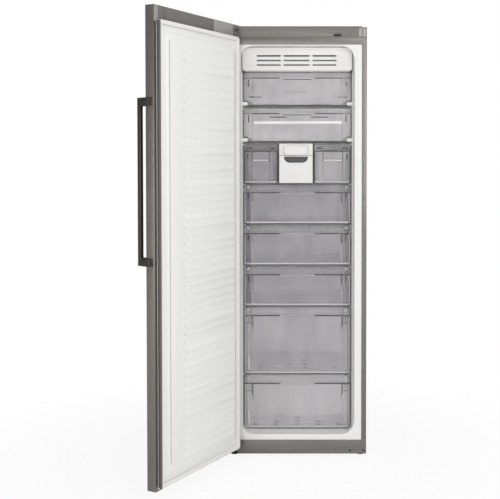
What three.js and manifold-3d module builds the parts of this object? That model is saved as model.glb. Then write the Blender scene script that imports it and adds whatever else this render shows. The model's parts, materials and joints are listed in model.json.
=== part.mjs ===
// Upright freezer with one door, shown open, with its flaps, drawers and ice maker.
// Millimetres. +Z is up, +X is to the right and +Y runs from the door into the cabinet.
// Inside this file Y = 0 is the front of the cabinet and Z = 0 is the floor.

import * as THREE from 'three';
import { mergeVertices } from 'three/addons/utils/BufferGeometryUtils.js';
import Module from 'manifold-3d';

const wasm = await Module();
wasm.setup();

// ---------------------------------------------------------------- driving sizes

// Cabinet.
const CABINET_WIDTH = 595;
const CABINET_DEPTH = 600;
const CABINET_TOP = 1850;
const FLOOR_GAP = 12; // under the plinth and the sides
const STEEL = 1; // sheet of the cabinet and the door
const GAP = 0.3; // between two pieces that rest on each other
const SIDE_FLANGE = 20; // steel seen beside the liner
const FRONT_HEM = 12;
const REAR_HEM = 15;
const REAR_RIM = 5; // rear edge of the sides beyond the back panel
const CORNER_RADIUS = 4;
const BAND_HEIGHT = 31; // steel seen above the liner

// Cover along the top front edge.
const COVER_HEIGHT = 47;
const COVER_DEPTH = 70;
const COVER_PROUD = 12; // above the roof
const COVER_WALL = 2.5;
const COVER_DIP = 2; // centre of its face behind the ends
const COVER_END = 21; // lower block at the right end
const COVER_END_DROP = 4;

// Plinth and base.
const PLINTH_HEIGHT = 60.5;
const PLINTH_DEPTH = 16;
const PLINTH_WALL = 2;
const HINGE_BAY = 39; // left end of the front, kept for the lower hinge
const RUNNER_WIDTH = 37;
const RUNNER_TOP = 36;
const RUNNER_LIP = 16;
const FRAME_STEEL = 2;
const ROLLER_RADIUS = 16;
const ROLLER_WIDTH = 20;
const ROLLER_SETBACK = 40; // roller axle to the rear of the cabinet
const AXLE_RADIUS = 4;
const FOOT_RADIUS = 17;
const FOOT_STEM = 5;
const FOOT_SETBACK = 44; // foot centre behind the front
const RUNNING_CLEARANCE = 0.3;

// Liner.
const SIDE_INSULATION = 51.5; // outside of the cabinet to the mouth
const REAR_INSULATION = 60;
const LINER_WALL = 2;
const MOUTH_FLARE = 8;
const FLARE_DEPTH = 60;
const MOUTH_RADIUS = 58;
const CHAMBER_RADIUS = 24;
const CHAMBER_DRAFT = 1.5;
const CHAMBER_FLOOR = 104;
const CEILING_INSULATION = 86; // top of the cabinet to the chamber
const LEDGE_DEPTH = 8;
const LEDGE_HEIGHT = 7;
const LEDGE_FRONT = 84;
const RAIL_HEIGHT = 3;
const RAIL_WIDTH = 14;
const RAIL_INSIDE = 120; // middle of the chamber to the rail

// Compartments from the floor up: bottom drawer, tall drawer, three drawers, ice row, two flaps.
// They share any difference in the height of the chamber in proportion.
const COMPARTMENTS = [239, 298, 179, 180, 178, 175, 156.5, 154.5];
const SHELF_THICKNESS = 4;
const SHELF_FRONT = 66;
const SHELF_MARGIN = 3; // shelf edge to the chamber wall
const REAR_GAP = 7; // shelf or tub to the air duct cover

// Machine compartment behind the bottom drawer.
const STEP_FRONT = 250;
const STEP_INSULATION = 41;
const COMPRESSOR_RADIUS = 80;
const COMPRESSOR_HEIGHT = 150;
const PIPE_RADIUS = 4;

// Flap and drawer fronts.
const FRONT_PLANE = 58;
const FRONT_WALL = 3;
const FRONT_MARGIN = 5; // front edge to the chamber wall
const FRONT_RADIUS = 14;
const BOTTOM_FRONT_RADIUS = 24; // lowest drawer, which passes the round corners of the mouth
const GRIP_DEPTH = 15;
const GRIP_HEIGHT = 36;
const FLAP_GRIP_HEIGHT = 24;
const HAND_RECESS = 148;
const HAND_RECESS_DROP = 7;
const RIB_INSET = 39;
const SLIT_HEIGHT = 27;
const SLIT_INSET = 22;
const TUB_WALL = 2.2;
const TUB_MARGIN = 13; // tub wall to the chamber wall
const TUB_DRAFT = 4;
const TUB_RADIUS = 16;
const TUB_RIM = 3;
const STEP_CLEARANCE = 6; // bottom tub to the machine step

// Flap pivots.
const PIVOT_RISE = 8; // above the lower edge of the flap
const PIVOT_RADIUS = 3;
const PIVOT_DEPTH = 1; // behind the front plane
const LUG_WIDTH = 24;
const LUG_HEIGHT = 16;

// Evaporator, its cover, tray and fan.
const VENT_FRONT = 30;
const VENT_HEIGHT = 93;
const VENT_HEADROOM = 7; // to the ceiling of the chamber
const VENT_RADIUS = 12;
const VENT_TOP_RADIUS = 20;
const VENT_MARGIN = 1.5;
const VENT_WALL = 2.5;
const VENT_ROWS = 3;
const VENT_ROW_PITCH = 19.6;
const VENT_SLOT_HEIGHT = 6;
const VENT_MIDDLE_ROW = 43.5; // above the foot of the cover
const VENT_SLOT_SHIFT = 3; // slots to the left of the middle
const VENT_COLUMNS = [103, 112, 103];
const VENT_COLUMN_GAP = 12;
const TRAY_DROP = 77;
const TRAY_MARGIN = 12;
const FAN_RADIUS = 56;
const FAN_HUB = 20;
const FAN_BLADES = 6;
const SHROUD_SETBACK = 85; // shroud to the rear wall of the chamber
const DUCT_DEPTH = 25;

// Ice maker.
const ICE_LEFT = -78.5;
const ICE_RIGHT = 67;
const ICE_UPPER = 51; // height of its upper front
const ICE_DEPTH = 362; // also of the drawers beside it
const ICE_WALL = 2.5;
const ICE_SIDE_GAP = 7; // to the drawers beside it
const LEVER_LENGTH = 103;
const LEVER_HEIGHT = 43;
const LEVER_THICKNESS = 8;
const TRAY_CELLS = 4;

// Door. Its sizes are drawn closed.
const DOOR_FOOT = 42;
const DOOR_DROP = 1; // head of the door below the top of the cabinet
const DOOR_EDGE = 42; // depth of its steel edge
const DOOR_GAP = 14; // steel edge to the cabinet, filled by the gasket
const DOOR_CORNER = 6;
const HINGE_INSET = 23.5; // hinge axis from the side
const HINGE_FORWARD = 33; // hinge axis in front of the cabinet
const HINGE_PIN = 5;
const HINGE_EYE = 8;
const HINGE_TONGUE = 12;
const HINGE_SLOT_HEIGHT = 12;
const HINGE_SLOT_WALL = 2.5; // left in front of the slot in the door
const OPEN_ANGLE = 118;
const CAP_HEIGHT = 50;
const PANEL_MARGIN = 15;
const PANEL_SHEET = 3;
const PANEL_FOOT = 5; // bottom cap seen under the panel
const FIELD_RISE = 6;
const FIELD_LATCH_MARGIN = 58.6;
const FIELD_HINGE_MARGIN = 27;
const FIELD_END_MARGIN = 40;
const RIB_PITCH = 32;
const RIB_RISE = 1.5;
const RIB_WIDTH = 9;
const RIB_START = 157; // from the latch side of the panel
const GASKET_WIDTH = 17;
const GASKET_CLEARANCE = 1.3;

// Handle on the latch edge of the door.
const HANDLE_FOOT = 882;
const HANDLE_LENGTH = 627;
const HANDLE_WIDTH = 18;
const HANDLE_THICKNESS = 17;
const HANDLE_STANDOFF = 26;
const HANDLE_INSET = 5.5;
const BRACKET_HEIGHT = 32;
const BRACKET_PLATE = 3;

// ---------------------------------------------------------------- places that follow

const HALF_WIDTH = CABINET_WIDTH / 2;
const ROOF = CABINET_TOP - COVER_PROUD;
const COVER_FOOT = CABINET_TOP - COVER_HEIGHT;
const BAND_FOOT = COVER_FOOT - BAND_HEIGHT;
const PLINTH_TOP = FLOOR_GAP + PLINTH_HEIGHT;
const UNDERSIDE = PLINTH_TOP + 2;

const MOUTH_HALF = HALF_WIDTH - SIDE_INSULATION;
const CHAMBER_HALF = MOUTH_HALF - MOUTH_FLARE;
const CHAMBER_BACK = CABINET_DEPTH - REAR_INSULATION;
const CHAMBER_CEILING = CABINET_TOP - CEILING_INSULATION;
const DUCT_FRONT = CHAMBER_BACK - DUCT_DEPTH;
const VENT_FOOT = CHAMBER_CEILING - VENT_HEADROOM - VENT_HEIGHT;

const STRETCH = (VENT_FOOT - CHAMBER_FLOOR) / COMPARTMENTS.reduce((sum, height) => sum + height, 0);
const LEVELS = COMPARTMENTS.map((_, i) => {
  const below = COMPARTMENTS.slice(0, i + 1).reduce((sum, height) => sum + height, 0);
  return CHAMBER_FLOOR + below * STRETCH;
});
const SHELF_LEVELS = LEVELS.slice(0, -1);
const STEP_TOP = SHELF_LEVELS[0] - SHELF_THICKNESS / 2 - GAP;
const MACHINE_FRONT = STEP_FRONT + LINER_WALL + STEP_INSULATION;
const MACHINE_CEILING = STEP_TOP - LINER_WALL - STEP_INSULATION - 4;

const BACK_PANEL_REAR = CABINET_DEPTH - REAR_RIM - STEEL - GAP;
const RECESSED_PLANE = FRONT_PLANE + GRIP_DEPTH;
const TUB_FRONT = RECESSED_PLANE + FRONT_WALL + GAP;
const TUB_BACK = DUCT_FRONT - REAR_GAP;
const FRONT_HALF = CHAMBER_HALF - FRONT_MARGIN;

const DOOR_TOP = CABINET_TOP - DOOR_DROP;
const HINGE_X = HINGE_INSET - HALF_WIDTH;
const HINGE_Y = -HINGE_FORWARD;

// ---------------------------------------------------------------- modelling helpers

const AXIS_X = new THREE.Vector3(1, 0, 0);
const AXIS_Y = new THREE.Vector3(0, 1, 0);
const AXIS_Z = new THREE.Vector3(0, 0, 1);

// Turns a drawing in XY with its depth along Z so that the depth runs along the named axis.
const FACING = {
  x: new THREE.Matrix4().makeBasis(AXIS_Y, AXIS_Z, AXIS_X),
  y: new THREE.Matrix4().makeBasis(AXIS_X, AXIS_Z, AXIS_Y.clone().negate()),
  z: new THREE.Matrix4(),
};

function solidOf(geometry) {
  const plain = geometry.clone();
  plain.deleteAttribute('normal');
  plain.deleteAttribute('uv');
  const merged = mergeVertices(plain, 1e-4);
  return new wasm.Manifold(new wasm.Mesh({
    numProp: 3,
    vertProperties: new Float32Array(merged.attributes.position.array),
    triVerts: new Uint32Array(merged.index.array),
  }));
}

function join(first, ...others) {
  return others.reduce((sum, solid) => sum.add(solid), first);
}

function cut(first, ...others) {
  return others.reduce((rest, solid) => rest.subtract(solid), first);
}

function box([x0, x1], [y0, y1], [z0, z1]) {
  const geometry = new THREE.BoxGeometry(x1 - x0, y1 - y0, z1 - z0);
  geometry.translate((x0 + x1) / 2, (y0 + y1) / 2, (z0 + z1) / 2);
  return solidOf(geometry);
}

// A shape drawn in XY (axis z), XZ (axis y) or YZ (axis x), given depth along the axis.
// Every arc of the shape gets twice as many steps as curveSegments.
function extrude(shape, axis, from, to, curveSegments = 2) {
  const geometry = new THREE.ExtrudeGeometry(shape, {
    depth: to - from,
    bevelEnabled: false,
    curveSegments,
  });
  geometry.translate(0, 0, axis === 'y' ? -to : from);
  geometry.applyMatrix4(FACING[axis]);
  return solidOf(geometry);
}

// A rod along the axis; the centre is given in the plane across it, as in extrude.
function rod(axis, radius, from, to, [u, v], segments = 12) {
  const shape = new THREE.Shape();
  shape.absarc(u, v, radius, 0, Math.PI * 2);
  return extrude(shape, axis, from, to, segments / 2);
}

// Round hole whose flats, not only its corners, clear a shaft of that radius.
function shaftHole(axis, shaft, from, to, centre, segments = 12) {
  const radius = (shaft + RUNNING_CLEARANCE) / Math.cos(Math.PI / segments);
  return rod(axis, radius, from, to, centre, segments);
}

function revolve(profile, [x, y], segments = 16) {
  const geometry = new THREE.LatheGeometry(profile.map(([r, z]) => new THREE.Vector2(r, z)), segments);
  geometry.rotateX(Math.PI / 2);
  geometry.translate(x, y, 0);
  return solidOf(geometry);
}

function roundedRect([u0, u1], [v0, v1], lower, upper = lower) {
  const shape = new THREE.Shape();
  shape.moveTo(u0 + lower, v0);
  shape.absarc(u1 - lower, v0 + lower, lower, -Math.PI / 2, 0);
  shape.absarc(u1 - upper, v1 - upper, upper, 0, Math.PI / 2);
  shape.absarc(u0 + upper, v1 - upper, upper, Math.PI / 2, Math.PI);
  shape.absarc(u0 + lower, v0 + lower, lower, Math.PI, Math.PI * 1.5);
  return shape;
}

function polygon(points) {
  return new THREE.Shape(points.map(([u, v]) => new THREE.Vector2(u, v)));
}

// One rounded rectangle of a loft, anticlockwise, at depth w.
function loftRing([u0, u1], [v0, v1], radius, w, steps = 3) {
  const corners = [
    [u1 - radius, v0 + radius, -90],
    [u1 - radius, v1 - radius, 0],
    [u0 + radius, v1 - radius, 90],
    [u0 + radius, v0 + radius, 180],
  ];
  return corners.flatMap(([u, v, start]) => Array.from({ length: steps + 1 }, (_, i) => {
    const angle = THREE.MathUtils.degToRad(start + (90 * i) / steps);
    return new THREE.Vector3(u + radius * Math.cos(angle), v + radius * Math.sin(angle), w);
  }));
}

// A closed solid through rings of equal length, in order of rising depth, with flat ends.
function loft(rings, axis) {
  const count = rings[0].length;
  const positions = rings.flat().flatMap((point) => [point.x, point.y, point.z]);
  const faces = [];
  for (let r = 0; r + 1 < rings.length; r += 1) {
    for (let i = 0; i < count; i += 1) {
      const a = r * count + i;
      const b = r * count + ((i + 1) % count);
      faces.push(a, b, b + count, a, b + count, a + count);
    }
  }
  const last = (rings.length - 1) * count;
  for (let i = 1; i + 1 < count; i += 1) {
    faces.push(0, i + 1, i);
    faces.push(last, last + i, last + i + 1);
  }
  const geometry = new THREE.BufferGeometry();
  geometry.setAttribute('position', new THREE.Float32BufferAttribute(positions, 3));
  geometry.setIndex(faces);
  geometry.applyMatrix4(FACING[axis]);
  return solidOf(geometry);
}

// A closed tube along a curve.
function tube(curve, radius, steps, sides = 8) {
  const section = new THREE.Shape();
  section.absarc(0, 0, radius, 0, Math.PI * 2);
  return solidOf(new THREE.ExtrudeGeometry(section, {
    steps,
    extrudePath: curve,
    curveSegments: sides / 2,
    bevelEnabled: false,
  }));
}

function mirrorPair(solid) {
  return join(solid, solid.mirror([1, 0, 0]));
}

function turned(solid, axis, degrees, [x, y, z]) {
  const matrix = new THREE.Matrix4().makeTranslation(x, y, z)
    .multiply(new THREE.Matrix4().makeRotationAxis(axis, THREE.MathUtils.degToRad(degrees)))
    .multiply(new THREE.Matrix4().makeTranslation(-x, -y, -z));
  return solid.transform(matrix.elements);
}

function part(name, solid, material) {
  const { vertProperties, triVerts } = solid.getMesh();
  const geometry = new THREE.BufferGeometry();
  geometry.setAttribute('position', new THREE.BufferAttribute(new Float32Array(vertProperties), 3));
  geometry.setIndex(new THREE.BufferAttribute(new Uint32Array(triVerts), 1));
  geometry.computeVertexNormals();
  const mesh = new THREE.Mesh(geometry, material);
  mesh.name = name;
  return mesh;
}

// ---------------------------------------------------------------- finishes

function finish(color, roughness, metalness, more = {}) {
  return new THREE.MeshStandardMaterial({ color, roughness, metalness, ...more });
}

const brushedSteel = () => finish(0x8b8782, 0.38, 0.85);
const galvanised = () => finish(0xa4a7a8, 0.45, 0.8);
const greyPlastic = () => finish(0x86837f, 0.5, 0.3);
const whitePlastic = () => finish(0xf1f1ef, 0.42, 0);
const dullWhite = () => finish(0xe4e3e1, 0.5, 0);
const clearPlastic = () => finish(0xc9c8cc, 0.12, 0, { transparent: true, opacity: 0.4 });
const shelfGlass = () => finish(0xcfd8d6, 0.05, 0, { transparent: true, opacity: 0.35 });
const foam = () => finish(0xe8d9a8, 0.95, 0);
const softWhite = () => finish(0xdcdcda, 0.7, 0);
const charcoal = () => finish(0x3c3b3d, 0.45, 0.4);
const blackPaint = () => finish(0x1c1c1d, 0.4, 0.2);
const copper = () => finish(0xb06a48, 0.3, 0.95);
const bareAluminium = () => finish(0xb9bcbd, 0.35, 0.9);
const blackPlastic = () => finish(0x252525, 0.6, 0);

// ---------------------------------------------------------------- cabinet

// Plan of the wrapped sheet, open to the rear, moved inwards by inset.
function wrapPlan(inset, rear) {
  const half = HALF_WIDTH - inset;
  const radius = CORNER_RADIUS - inset;
  const shape = new THREE.Shape();
  shape.moveTo(-half, rear);
  shape.lineTo(-half, CORNER_RADIUS);
  shape.absarc(-half + radius, CORNER_RADIUS, radius, Math.PI, Math.PI * 1.5);
  shape.absarc(half - radius, CORNER_RADIUS, radius, Math.PI * 1.5, Math.PI * 2);
  shape.lineTo(half, rear);
  return shape;
}

function outerShell() {
  const openingHalf = HALF_WIDTH - SIDE_FLANGE;
  const inner = HALF_WIDTH - STEEL / 2;
  const rear = CABINET_DEPTH - REAR_RIM;
  const wrap = cut(
    extrude(wrapPlan(0, CABINET_DEPTH), 'z', FLOOR_GAP, ROOF),
    extrude(wrapPlan(STEEL, CABINET_DEPTH + 1), 'z', FLOOR_GAP - 1, ROOF - STEEL),
    box([-HALF_WIDTH - 1, HALF_WIDTH + 1], [-1, COVER_DEPTH], [COVER_FOOT, ROOF + 1]),
    box([-openingHalf, openingHalf], [-1, STEEL + 1], [FLOOR_GAP - 1, BAND_FOOT]),
  );
  const coverSeat = join(
    box([-inner, inner], [STEEL / 2, COVER_DEPTH + STEEL], [COVER_FOOT - STEEL, COVER_FOOT]),
    box([-inner, inner], [COVER_DEPTH, COVER_DEPTH + STEEL], [COVER_FOOT - STEEL, ROOF - STEEL / 2]),
  );
  const hemX = openingHalf + STEEL;
  const sideHem = box([openingHalf, hemX], [STEEL / 2, FRONT_HEM], [PLINTH_TOP, BAND_FOOT + STEEL / 2]);
  const bandHem = box([-hemX, hemX], [STEEL / 2, FRONT_HEM], [BAND_FOOT, BAND_FOOT + STEEL]);
  const rearHem = box([HALF_WIDTH - REAR_HEM, inner], [rear - STEEL, rear], [FLOOR_GAP, ROOF - STEEL / 2]);
  const topHem = box([-inner, inner], [rear - STEEL, rear], [ROOF - REAR_HEM, ROOF - STEEL / 2]);
  return cut(
    join(wrap, coverSeat, mirrorPair(sideHem), bandHem, mirrorPair(rearHem), topHem),
    box([-HALF_WIDTH - 1, HALF_WIDTH + 1], [-1, PLINTH_DEPTH + GAP], [FLOOR_GAP - 1, PLINTH_TOP + GAP]),
  );
}

// Back panel with shallow pressed fields that stiffen the sheet.
function backPanel() {
  const front = BACK_PANEL_REAR - STEEL;
  const half = HALF_WIDTH - STEEL - GAP;
  const foot = MACHINE_CEILING + 2;
  const head = ROOF - STEEL - GAP;
  const fieldHalf = half - 45;
  const fieldRise = REAR_RIM - 1;
  const fieldHeight = 100;
  const fieldSlope = 8;
  const fieldCount = 5;
  const pitch = (head - foot) / fieldCount;
  let sheet = box([-half, half], [front, BACK_PANEL_REAR], [foot, head]);
  for (let i = 0; i < fieldCount; i += 1) {
    const middle = foot + pitch * (i + 0.5);
    const press = (base, inset) => extrude(polygon([
      [base, middle - fieldHeight / 2 + inset],
      [base, middle + fieldHeight / 2 - inset],
      [base + fieldRise, middle + fieldHeight / 2 - fieldSlope - inset],
      [base + fieldRise, middle - fieldHeight / 2 + fieldSlope + inset],
    ]), 'x', -fieldHalf + inset, fieldHalf - inset);
    sheet = cut(join(sheet, press(BACK_PANEL_REAR, 0)), press(front, STEEL));
  }
  return sheet;
}

// Stepped sheet that closes the insulation below and roofs the machine compartment.
function bottomPanel() {
  const half = HALF_WIDTH - STEEL - GAP;
  const rear = BACK_PANEL_REAR - STEEL - GAP;
  return extrude(polygon([
    [PLINTH_DEPTH + 1, UNDERSIDE],
    [MACHINE_FRONT, UNDERSIDE],
    [MACHINE_FRONT, MACHINE_CEILING - STEEL],
    [rear, MACHINE_CEILING - STEEL],
    [rear, MACHINE_CEILING],
    [MACHINE_FRONT - STEEL, MACHINE_CEILING],
    [MACHINE_FRONT - STEEL, UNDERSIDE + STEEL],
    [PLINTH_DEPTH + 1, UNDERSIDE + STEEL],
  ]), 'x', -half, half);
}

function baseFrame() {
  const outside = HALF_WIDTH - 5;
  const inside = outside - RUNNER_WIDTH;
  const rear = BACK_PANEL_REAR - 4;
  const axleY = CABINET_DEPTH - ROLLER_SETBACK;
  const footX = outside - RUNNER_WIDTH / 2;
  const runner = extrude(polygon([
    [inside, RUNNER_LIP + 8],
    [inside + FRAME_STEEL, RUNNER_LIP + 8],
    [inside + FRAME_STEEL, RUNNER_TOP - FRAME_STEEL],
    [outside - FRAME_STEEL, RUNNER_TOP - FRAME_STEEL],
    [outside - FRAME_STEEL, RUNNER_LIP],
    [outside, RUNNER_LIP],
    [outside, UNDERSIDE - GAP],
    [outside - FRAME_STEEL, UNDERSIDE - GAP],
    [outside - FRAME_STEEL, RUNNER_TOP],
    [inside, RUNNER_TOP],
  ]), 'y', PLINTH_DEPTH + 2, rear);
  const earX = footX - ROLLER_WIDTH / 2 - 4;
  const ear = (x) => cut(
    join(
      box([x, x + FRAME_STEEL], [axleY - 14, axleY + 14], [ROLLER_RADIUS, RUNNER_TOP - FRAME_STEEL / 2]),
      rod('x', 11, x, x + FRAME_STEEL, [axleY, ROLLER_RADIUS], 8),
    ),
    shaftHole('x', AXLE_RADIUS, x - 1, x + FRAME_STEEL + 1, [axleY, ROLLER_RADIUS], 8),
  );
  const side = join(
    cut(
      runner,
      box([footX - 15, outside + 1], [axleY - 18, axleY + 18], [RUNNER_LIP - 1, RUNNER_TOP - FRAME_STEEL]),
      shaftHole('z', FOOT_STEM, RUNNER_TOP - 5, RUNNER_TOP + 1, [footX, FOOT_SETBACK], 8),
    ),
    ear(earX),
    ear(footX + ROLLER_WIDTH / 2 + 2),
  );
  const floorHalf = inside + 1;
  const machineFloor = extrude(polygon([
    [MACHINE_FRONT - 6, RUNNER_TOP - FRAME_STEEL],
    [rear, RUNNER_TOP - FRAME_STEEL],
    [rear, RUNNER_TOP],
    [MACHINE_FRONT - 4, RUNNER_TOP],
    [MACHINE_FRONT - 4, UNDERSIDE - GAP],
    [MACHINE_FRONT - 6, UNDERSIDE - GAP],
  ]), 'x', -floorHalf, floorHalf);
  return join(mirrorPair(side), machineFloor);
}

function plinth() {
  const left = -HALF_WIDTH + HINGE_BAY;
  const holeRise = 14;
  const holeRadius = 2.6;
  const channel = extrude(polygon([
    [0, FLOOR_GAP],
    [PLINTH_DEPTH - 1, FLOOR_GAP],
    [PLINTH_DEPTH - 1, FLOOR_GAP + PLINTH_WALL],
    [PLINTH_WALL, FLOOR_GAP + PLINTH_WALL],
    [PLINTH_WALL, PLINTH_TOP - PLINTH_WALL],
    [PLINTH_DEPTH, PLINTH_TOP - PLINTH_WALL],
    [PLINTH_DEPTH, PLINTH_TOP],
    [0, PLINTH_TOP],
  ]), 'x', left, HALF_WIDTH);
  const endPlate = [PLINTH_WALL / 2, PLINTH_DEPTH - 1];
  const height = [FLOOR_GAP, PLINTH_TOP];
  const holes = [69.5, 11.5].map((inset) => (
    rod('y', holeRadius, -1, PLINTH_WALL + 1, [HALF_WIDTH - inset, FLOOR_GAP + holeRise])
  ));
  return cut(
    join(
      channel,
      box([left, left + PLINTH_WALL], endPlate, height),
      box([HALF_WIDTH - PLINTH_WALL, HALF_WIDTH], endPlate, height),
    ),
    ...holes,
  );
}

// Plan of the cover: the middle of its face lies a little behind the two ends.
function coverPlan(inset) {
  const half = HALF_WIDTH - inset;
  const dipStart = 60;
  const dipEnd = 84;
  return polygon([
    [-half, COVER_DEPTH - GAP - inset],
    [-half, inset],
    [-HALF_WIDTH + dipStart, inset],
    [-HALF_WIDTH + dipEnd, COVER_DIP + inset],
    [HALF_WIDTH - dipEnd + 24, COVER_DIP + inset],
    [HALF_WIDTH - dipStart + 24, inset],
    [half, inset],
    [half, COVER_DEPTH - GAP - inset],
  ]);
}

function topCover() {
  const foot = COVER_FOOT + GAP;
  const roofLine = extrude(roundedRect([-8, COVER_DEPTH + 8], [foot - 10, CABINET_TOP], 1, 9), 'x',
    -HALF_WIDTH - 1, HALF_WIDTH + 1, 3);
  const body = extrude(coverPlan(0), 'z', foot, CABINET_TOP).intersect(roofLine);
  const hollow = extrude(coverPlan(COVER_WALL), 'z', foot - 1, CABINET_TOP - COVER_WALL);
  const endDrop = box([HALF_WIDTH - COVER_END, HALF_WIDTH + 1], [-9, COVER_DEPTH + 1],
    [CABINET_TOP - COVER_END_DROP, CABINET_TOP + 1]);
  const endRoof = box([HALF_WIDTH - COVER_END - COVER_WALL, HALF_WIDTH - 1], [1, COVER_DEPTH - 1],
    [CABINET_TOP - COVER_END_DROP - COVER_WALL, CABINET_TOP - COVER_END_DROP]);
  const tongueHalf = HINGE_TONGUE / 2 + 1.5;
  const tongue = box([HINGE_X - tongueHalf, HINGE_X + tongueHalf], [-5, COVER_WALL + 1], hingeSlot());
  const rearSlot = box(
    [-HALF_WIDTH + 30, HALF_WIDTH - 30],
    [COVER_DEPTH - 4, COVER_DEPTH + 1],
    [foot - 1, foot + 14],
  );
  return cut(join(cut(body, hollow, endDrop), endRoof), tongue, rearSlot, switchPort());
}

// ---------------------------------------------------------------- door switch

const SWITCH_X = 172;
const SWITCH_WIDTH = 30;
const SWITCH_HEIGHT = 7;
const SWITCH_REACH = 9; // in front of the cabinet, less than the gap to the closed door
const SWITCH_RISE = 9; // centre above the foot of the cover

function switchOutline(grow) {
  const z = COVER_FOOT + SWITCH_RISE;
  const height = SWITCH_HEIGHT / 2 + grow;
  return roundedRect(
    [SWITCH_X - SWITCH_WIDTH / 2 - grow, SWITCH_X + SWITCH_WIDTH / 2 + grow],
    [z - height, z + height],
    height,
  );
}

function switchPort() {
  return extrude(switchOutline(RUNNING_CLEARANCE), 'y', -1, COVER_DIP + COVER_WALL + 1, 1);
}

function doorSwitch() {
  const stop = COVER_DIP + COVER_WALL + GAP;
  return join(
    extrude(switchOutline(0), 'y', -SWITCH_REACH, stop + 14, 1),
    extrude(switchOutline(2), 'y', stop, stop + 3, 1),
  );
}

// ---------------------------------------------------------------- liner

// The room inside the liner, grown outwards by grow.
function chamber(grow) {
  const flareSteps = 3;
  const rings = [];
  const ring = (share, y, draft) => {
    const flare = MOUTH_FLARE * (1 - share);
    const half = CHAMBER_HALF + flare - draft + grow;
    const foot = CHAMBER_FLOOR - flare + draft - grow;
    const head = CHAMBER_CEILING + flare / 2 - draft + grow;
    const radius = THREE.MathUtils.lerp(MOUTH_RADIUS, CHAMBER_RADIUS, share) + grow;
    rings.unshift(loftRing([-half, half], [foot, head], radius, -y));
  };
  ring(0, -1, 0);
  for (let i = 0; i <= flareSteps; i += 1) {
    const share = i / flareSteps;
    ring(Math.sin((share * Math.PI) / 2), 1 + (FLARE_DEPTH - 1) * share, 0);
  }
  ring(1, CHAMBER_BACK + grow, CHAMBER_DRAFT);
  const step = box([-HALF_WIDTH, HALF_WIDTH], [STEP_FRONT + grow, CABINET_DEPTH], [0, STEP_TOP - grow]);
  return cut(loft(rings, 'y'), step);
}

function ledge(level, rear) {
  const top = level - SHELF_THICKNESS / 2 - GAP;
  const wall = CHAMBER_HALF + 0.5;
  const tip = CHAMBER_HALF - LEDGE_DEPTH;
  return extrude(polygon([
    [wall, top],
    [tip, top],
    [tip, top - LEDGE_HEIGHT + 3],
    [wall, top - LEDGE_HEIGHT],
  ]), 'y', LEDGE_FRONT, rear);
}

function flapFoot(index) {
  return SHELF_LEVELS[index] + SHELF_THICKNESS / 2 + 3.5;
}

function pivotLug(foot) {
  const outer = CHAMBER_HALF + 1;
  const inner = outer - LUG_WIDTH;
  const z = foot + PIVOT_RISE;
  const y = FRONT_PLANE + PIVOT_DEPTH;
  const height = [z - LUG_HEIGHT / 2 + 1, z + LUG_HEIGHT / 2 + 1];
  return cut(
    extrude(roundedRect([y - 9, y + 12], height, 4, 6), 'x', inner, outer, 1),
    shaftHole('x', PIVOT_RADIUS, inner - 1, outer - 4, [y, z], 8),
  );
}

function liner() {
  const flangeHalf = HALF_WIDTH - SIDE_FLANGE - STEEL - GAP;
  const flange = box([-flangeHalf, flangeHalf], [GAP, GAP + LINER_WALL], [PLINTH_TOP + GAP, BAND_FOOT - GAP]);
  const behindFlange = box([-HALF_WIDTH, HALF_WIDTH], [-2, GAP], [0, CABINET_TOP]);
  const room = chamber(0);
  const shell = cut(join(cut(chamber(LINER_WALL), behindFlange), flange), room);
  const ledges = SHELF_LEVELS.map((level, i) => (
    mirrorPair(ledge(level, i === 0 ? STEP_FRONT : DUCT_FRONT - 3))
  ));
  const lugs = [5, 6].map((index) => mirrorPair(pivotLug(flapFoot(index))));
  const rail = box(
    [RAIL_INSIDE, RAIL_INSIDE + RAIL_WIDTH],
    [LEDGE_FRONT, STEP_FRONT - 10],
    [CHAMBER_FLOOR - 1, CHAMBER_FLOOR + RAIL_HEIGHT],
  );
  return join(shell, ...ledges, ...lugs, mirrorPair(rail));
}

function cabinetFoam() {
  const half = HALF_WIDTH - STEEL - GAP;
  const front = FRONT_HEM + 1;
  const rear = BACK_PANEL_REAR - STEEL - GAP;
  return cut(
    box([-half, half], [front, rear], [UNDERSIDE + STEEL + GAP, ROOF - STEEL - GAP]),
    chamber(LINER_WALL + GAP),
    box([-half - 1, half + 1], [0, COVER_DEPTH + STEEL + GAP], [COVER_FOOT - STEEL - GAP, ROOF]),
    box([-half - 1, half + 1], [MACHINE_FRONT - STEEL - GAP, rear + 1], [0, MACHINE_CEILING + GAP]),
  );
}

function shelf(level) {
  const half = CHAMBER_HALF - SHELF_MARGIN;
  return extrude(
    roundedRect([-half, half], [SHELF_FRONT, TUB_BACK], 6, 10),
    'z', level - SHELF_THICKNESS / 2, level + SHELF_THICKNESS / 2, 1,
  );
}

// Cover of the rear air duct, with a pair of slots that feeds each compartment.
function airDuct() {
  const half = CHAMBER_HALF - CHAMBER_DRAFT - 2;
  const foot = STEP_TOP + 6;
  const head = VENT_FOOT - TRAY_DROP - 4;
  const sheet = 2.5;
  const channelHalf = 165;
  const slotHeight = 5;
  const plate = box([-half, half], [DUCT_FRONT, DUCT_FRONT + sheet], [foot, head]);
  const wall = box([channelHalf, channelHalf + sheet], [DUCT_FRONT + 1, CHAMBER_BACK - GAP], [foot, head]);
  const slots = SHELF_LEVELS.slice(1).flatMap((level) => [
    box([-136, -53], [DUCT_FRONT - 1, DUCT_FRONT + sheet + 1], [level + 40, level + 40 + slotHeight]),
    box([63, 150], [DUCT_FRONT - 1, DUCT_FRONT + sheet + 1], [level + 40, level + 40 + slotHeight]),
  ]);
  return cut(join(plate, mirrorPair(wall)), ...slots);
}

// ---------------------------------------------------------------- evaporator and fan

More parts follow.
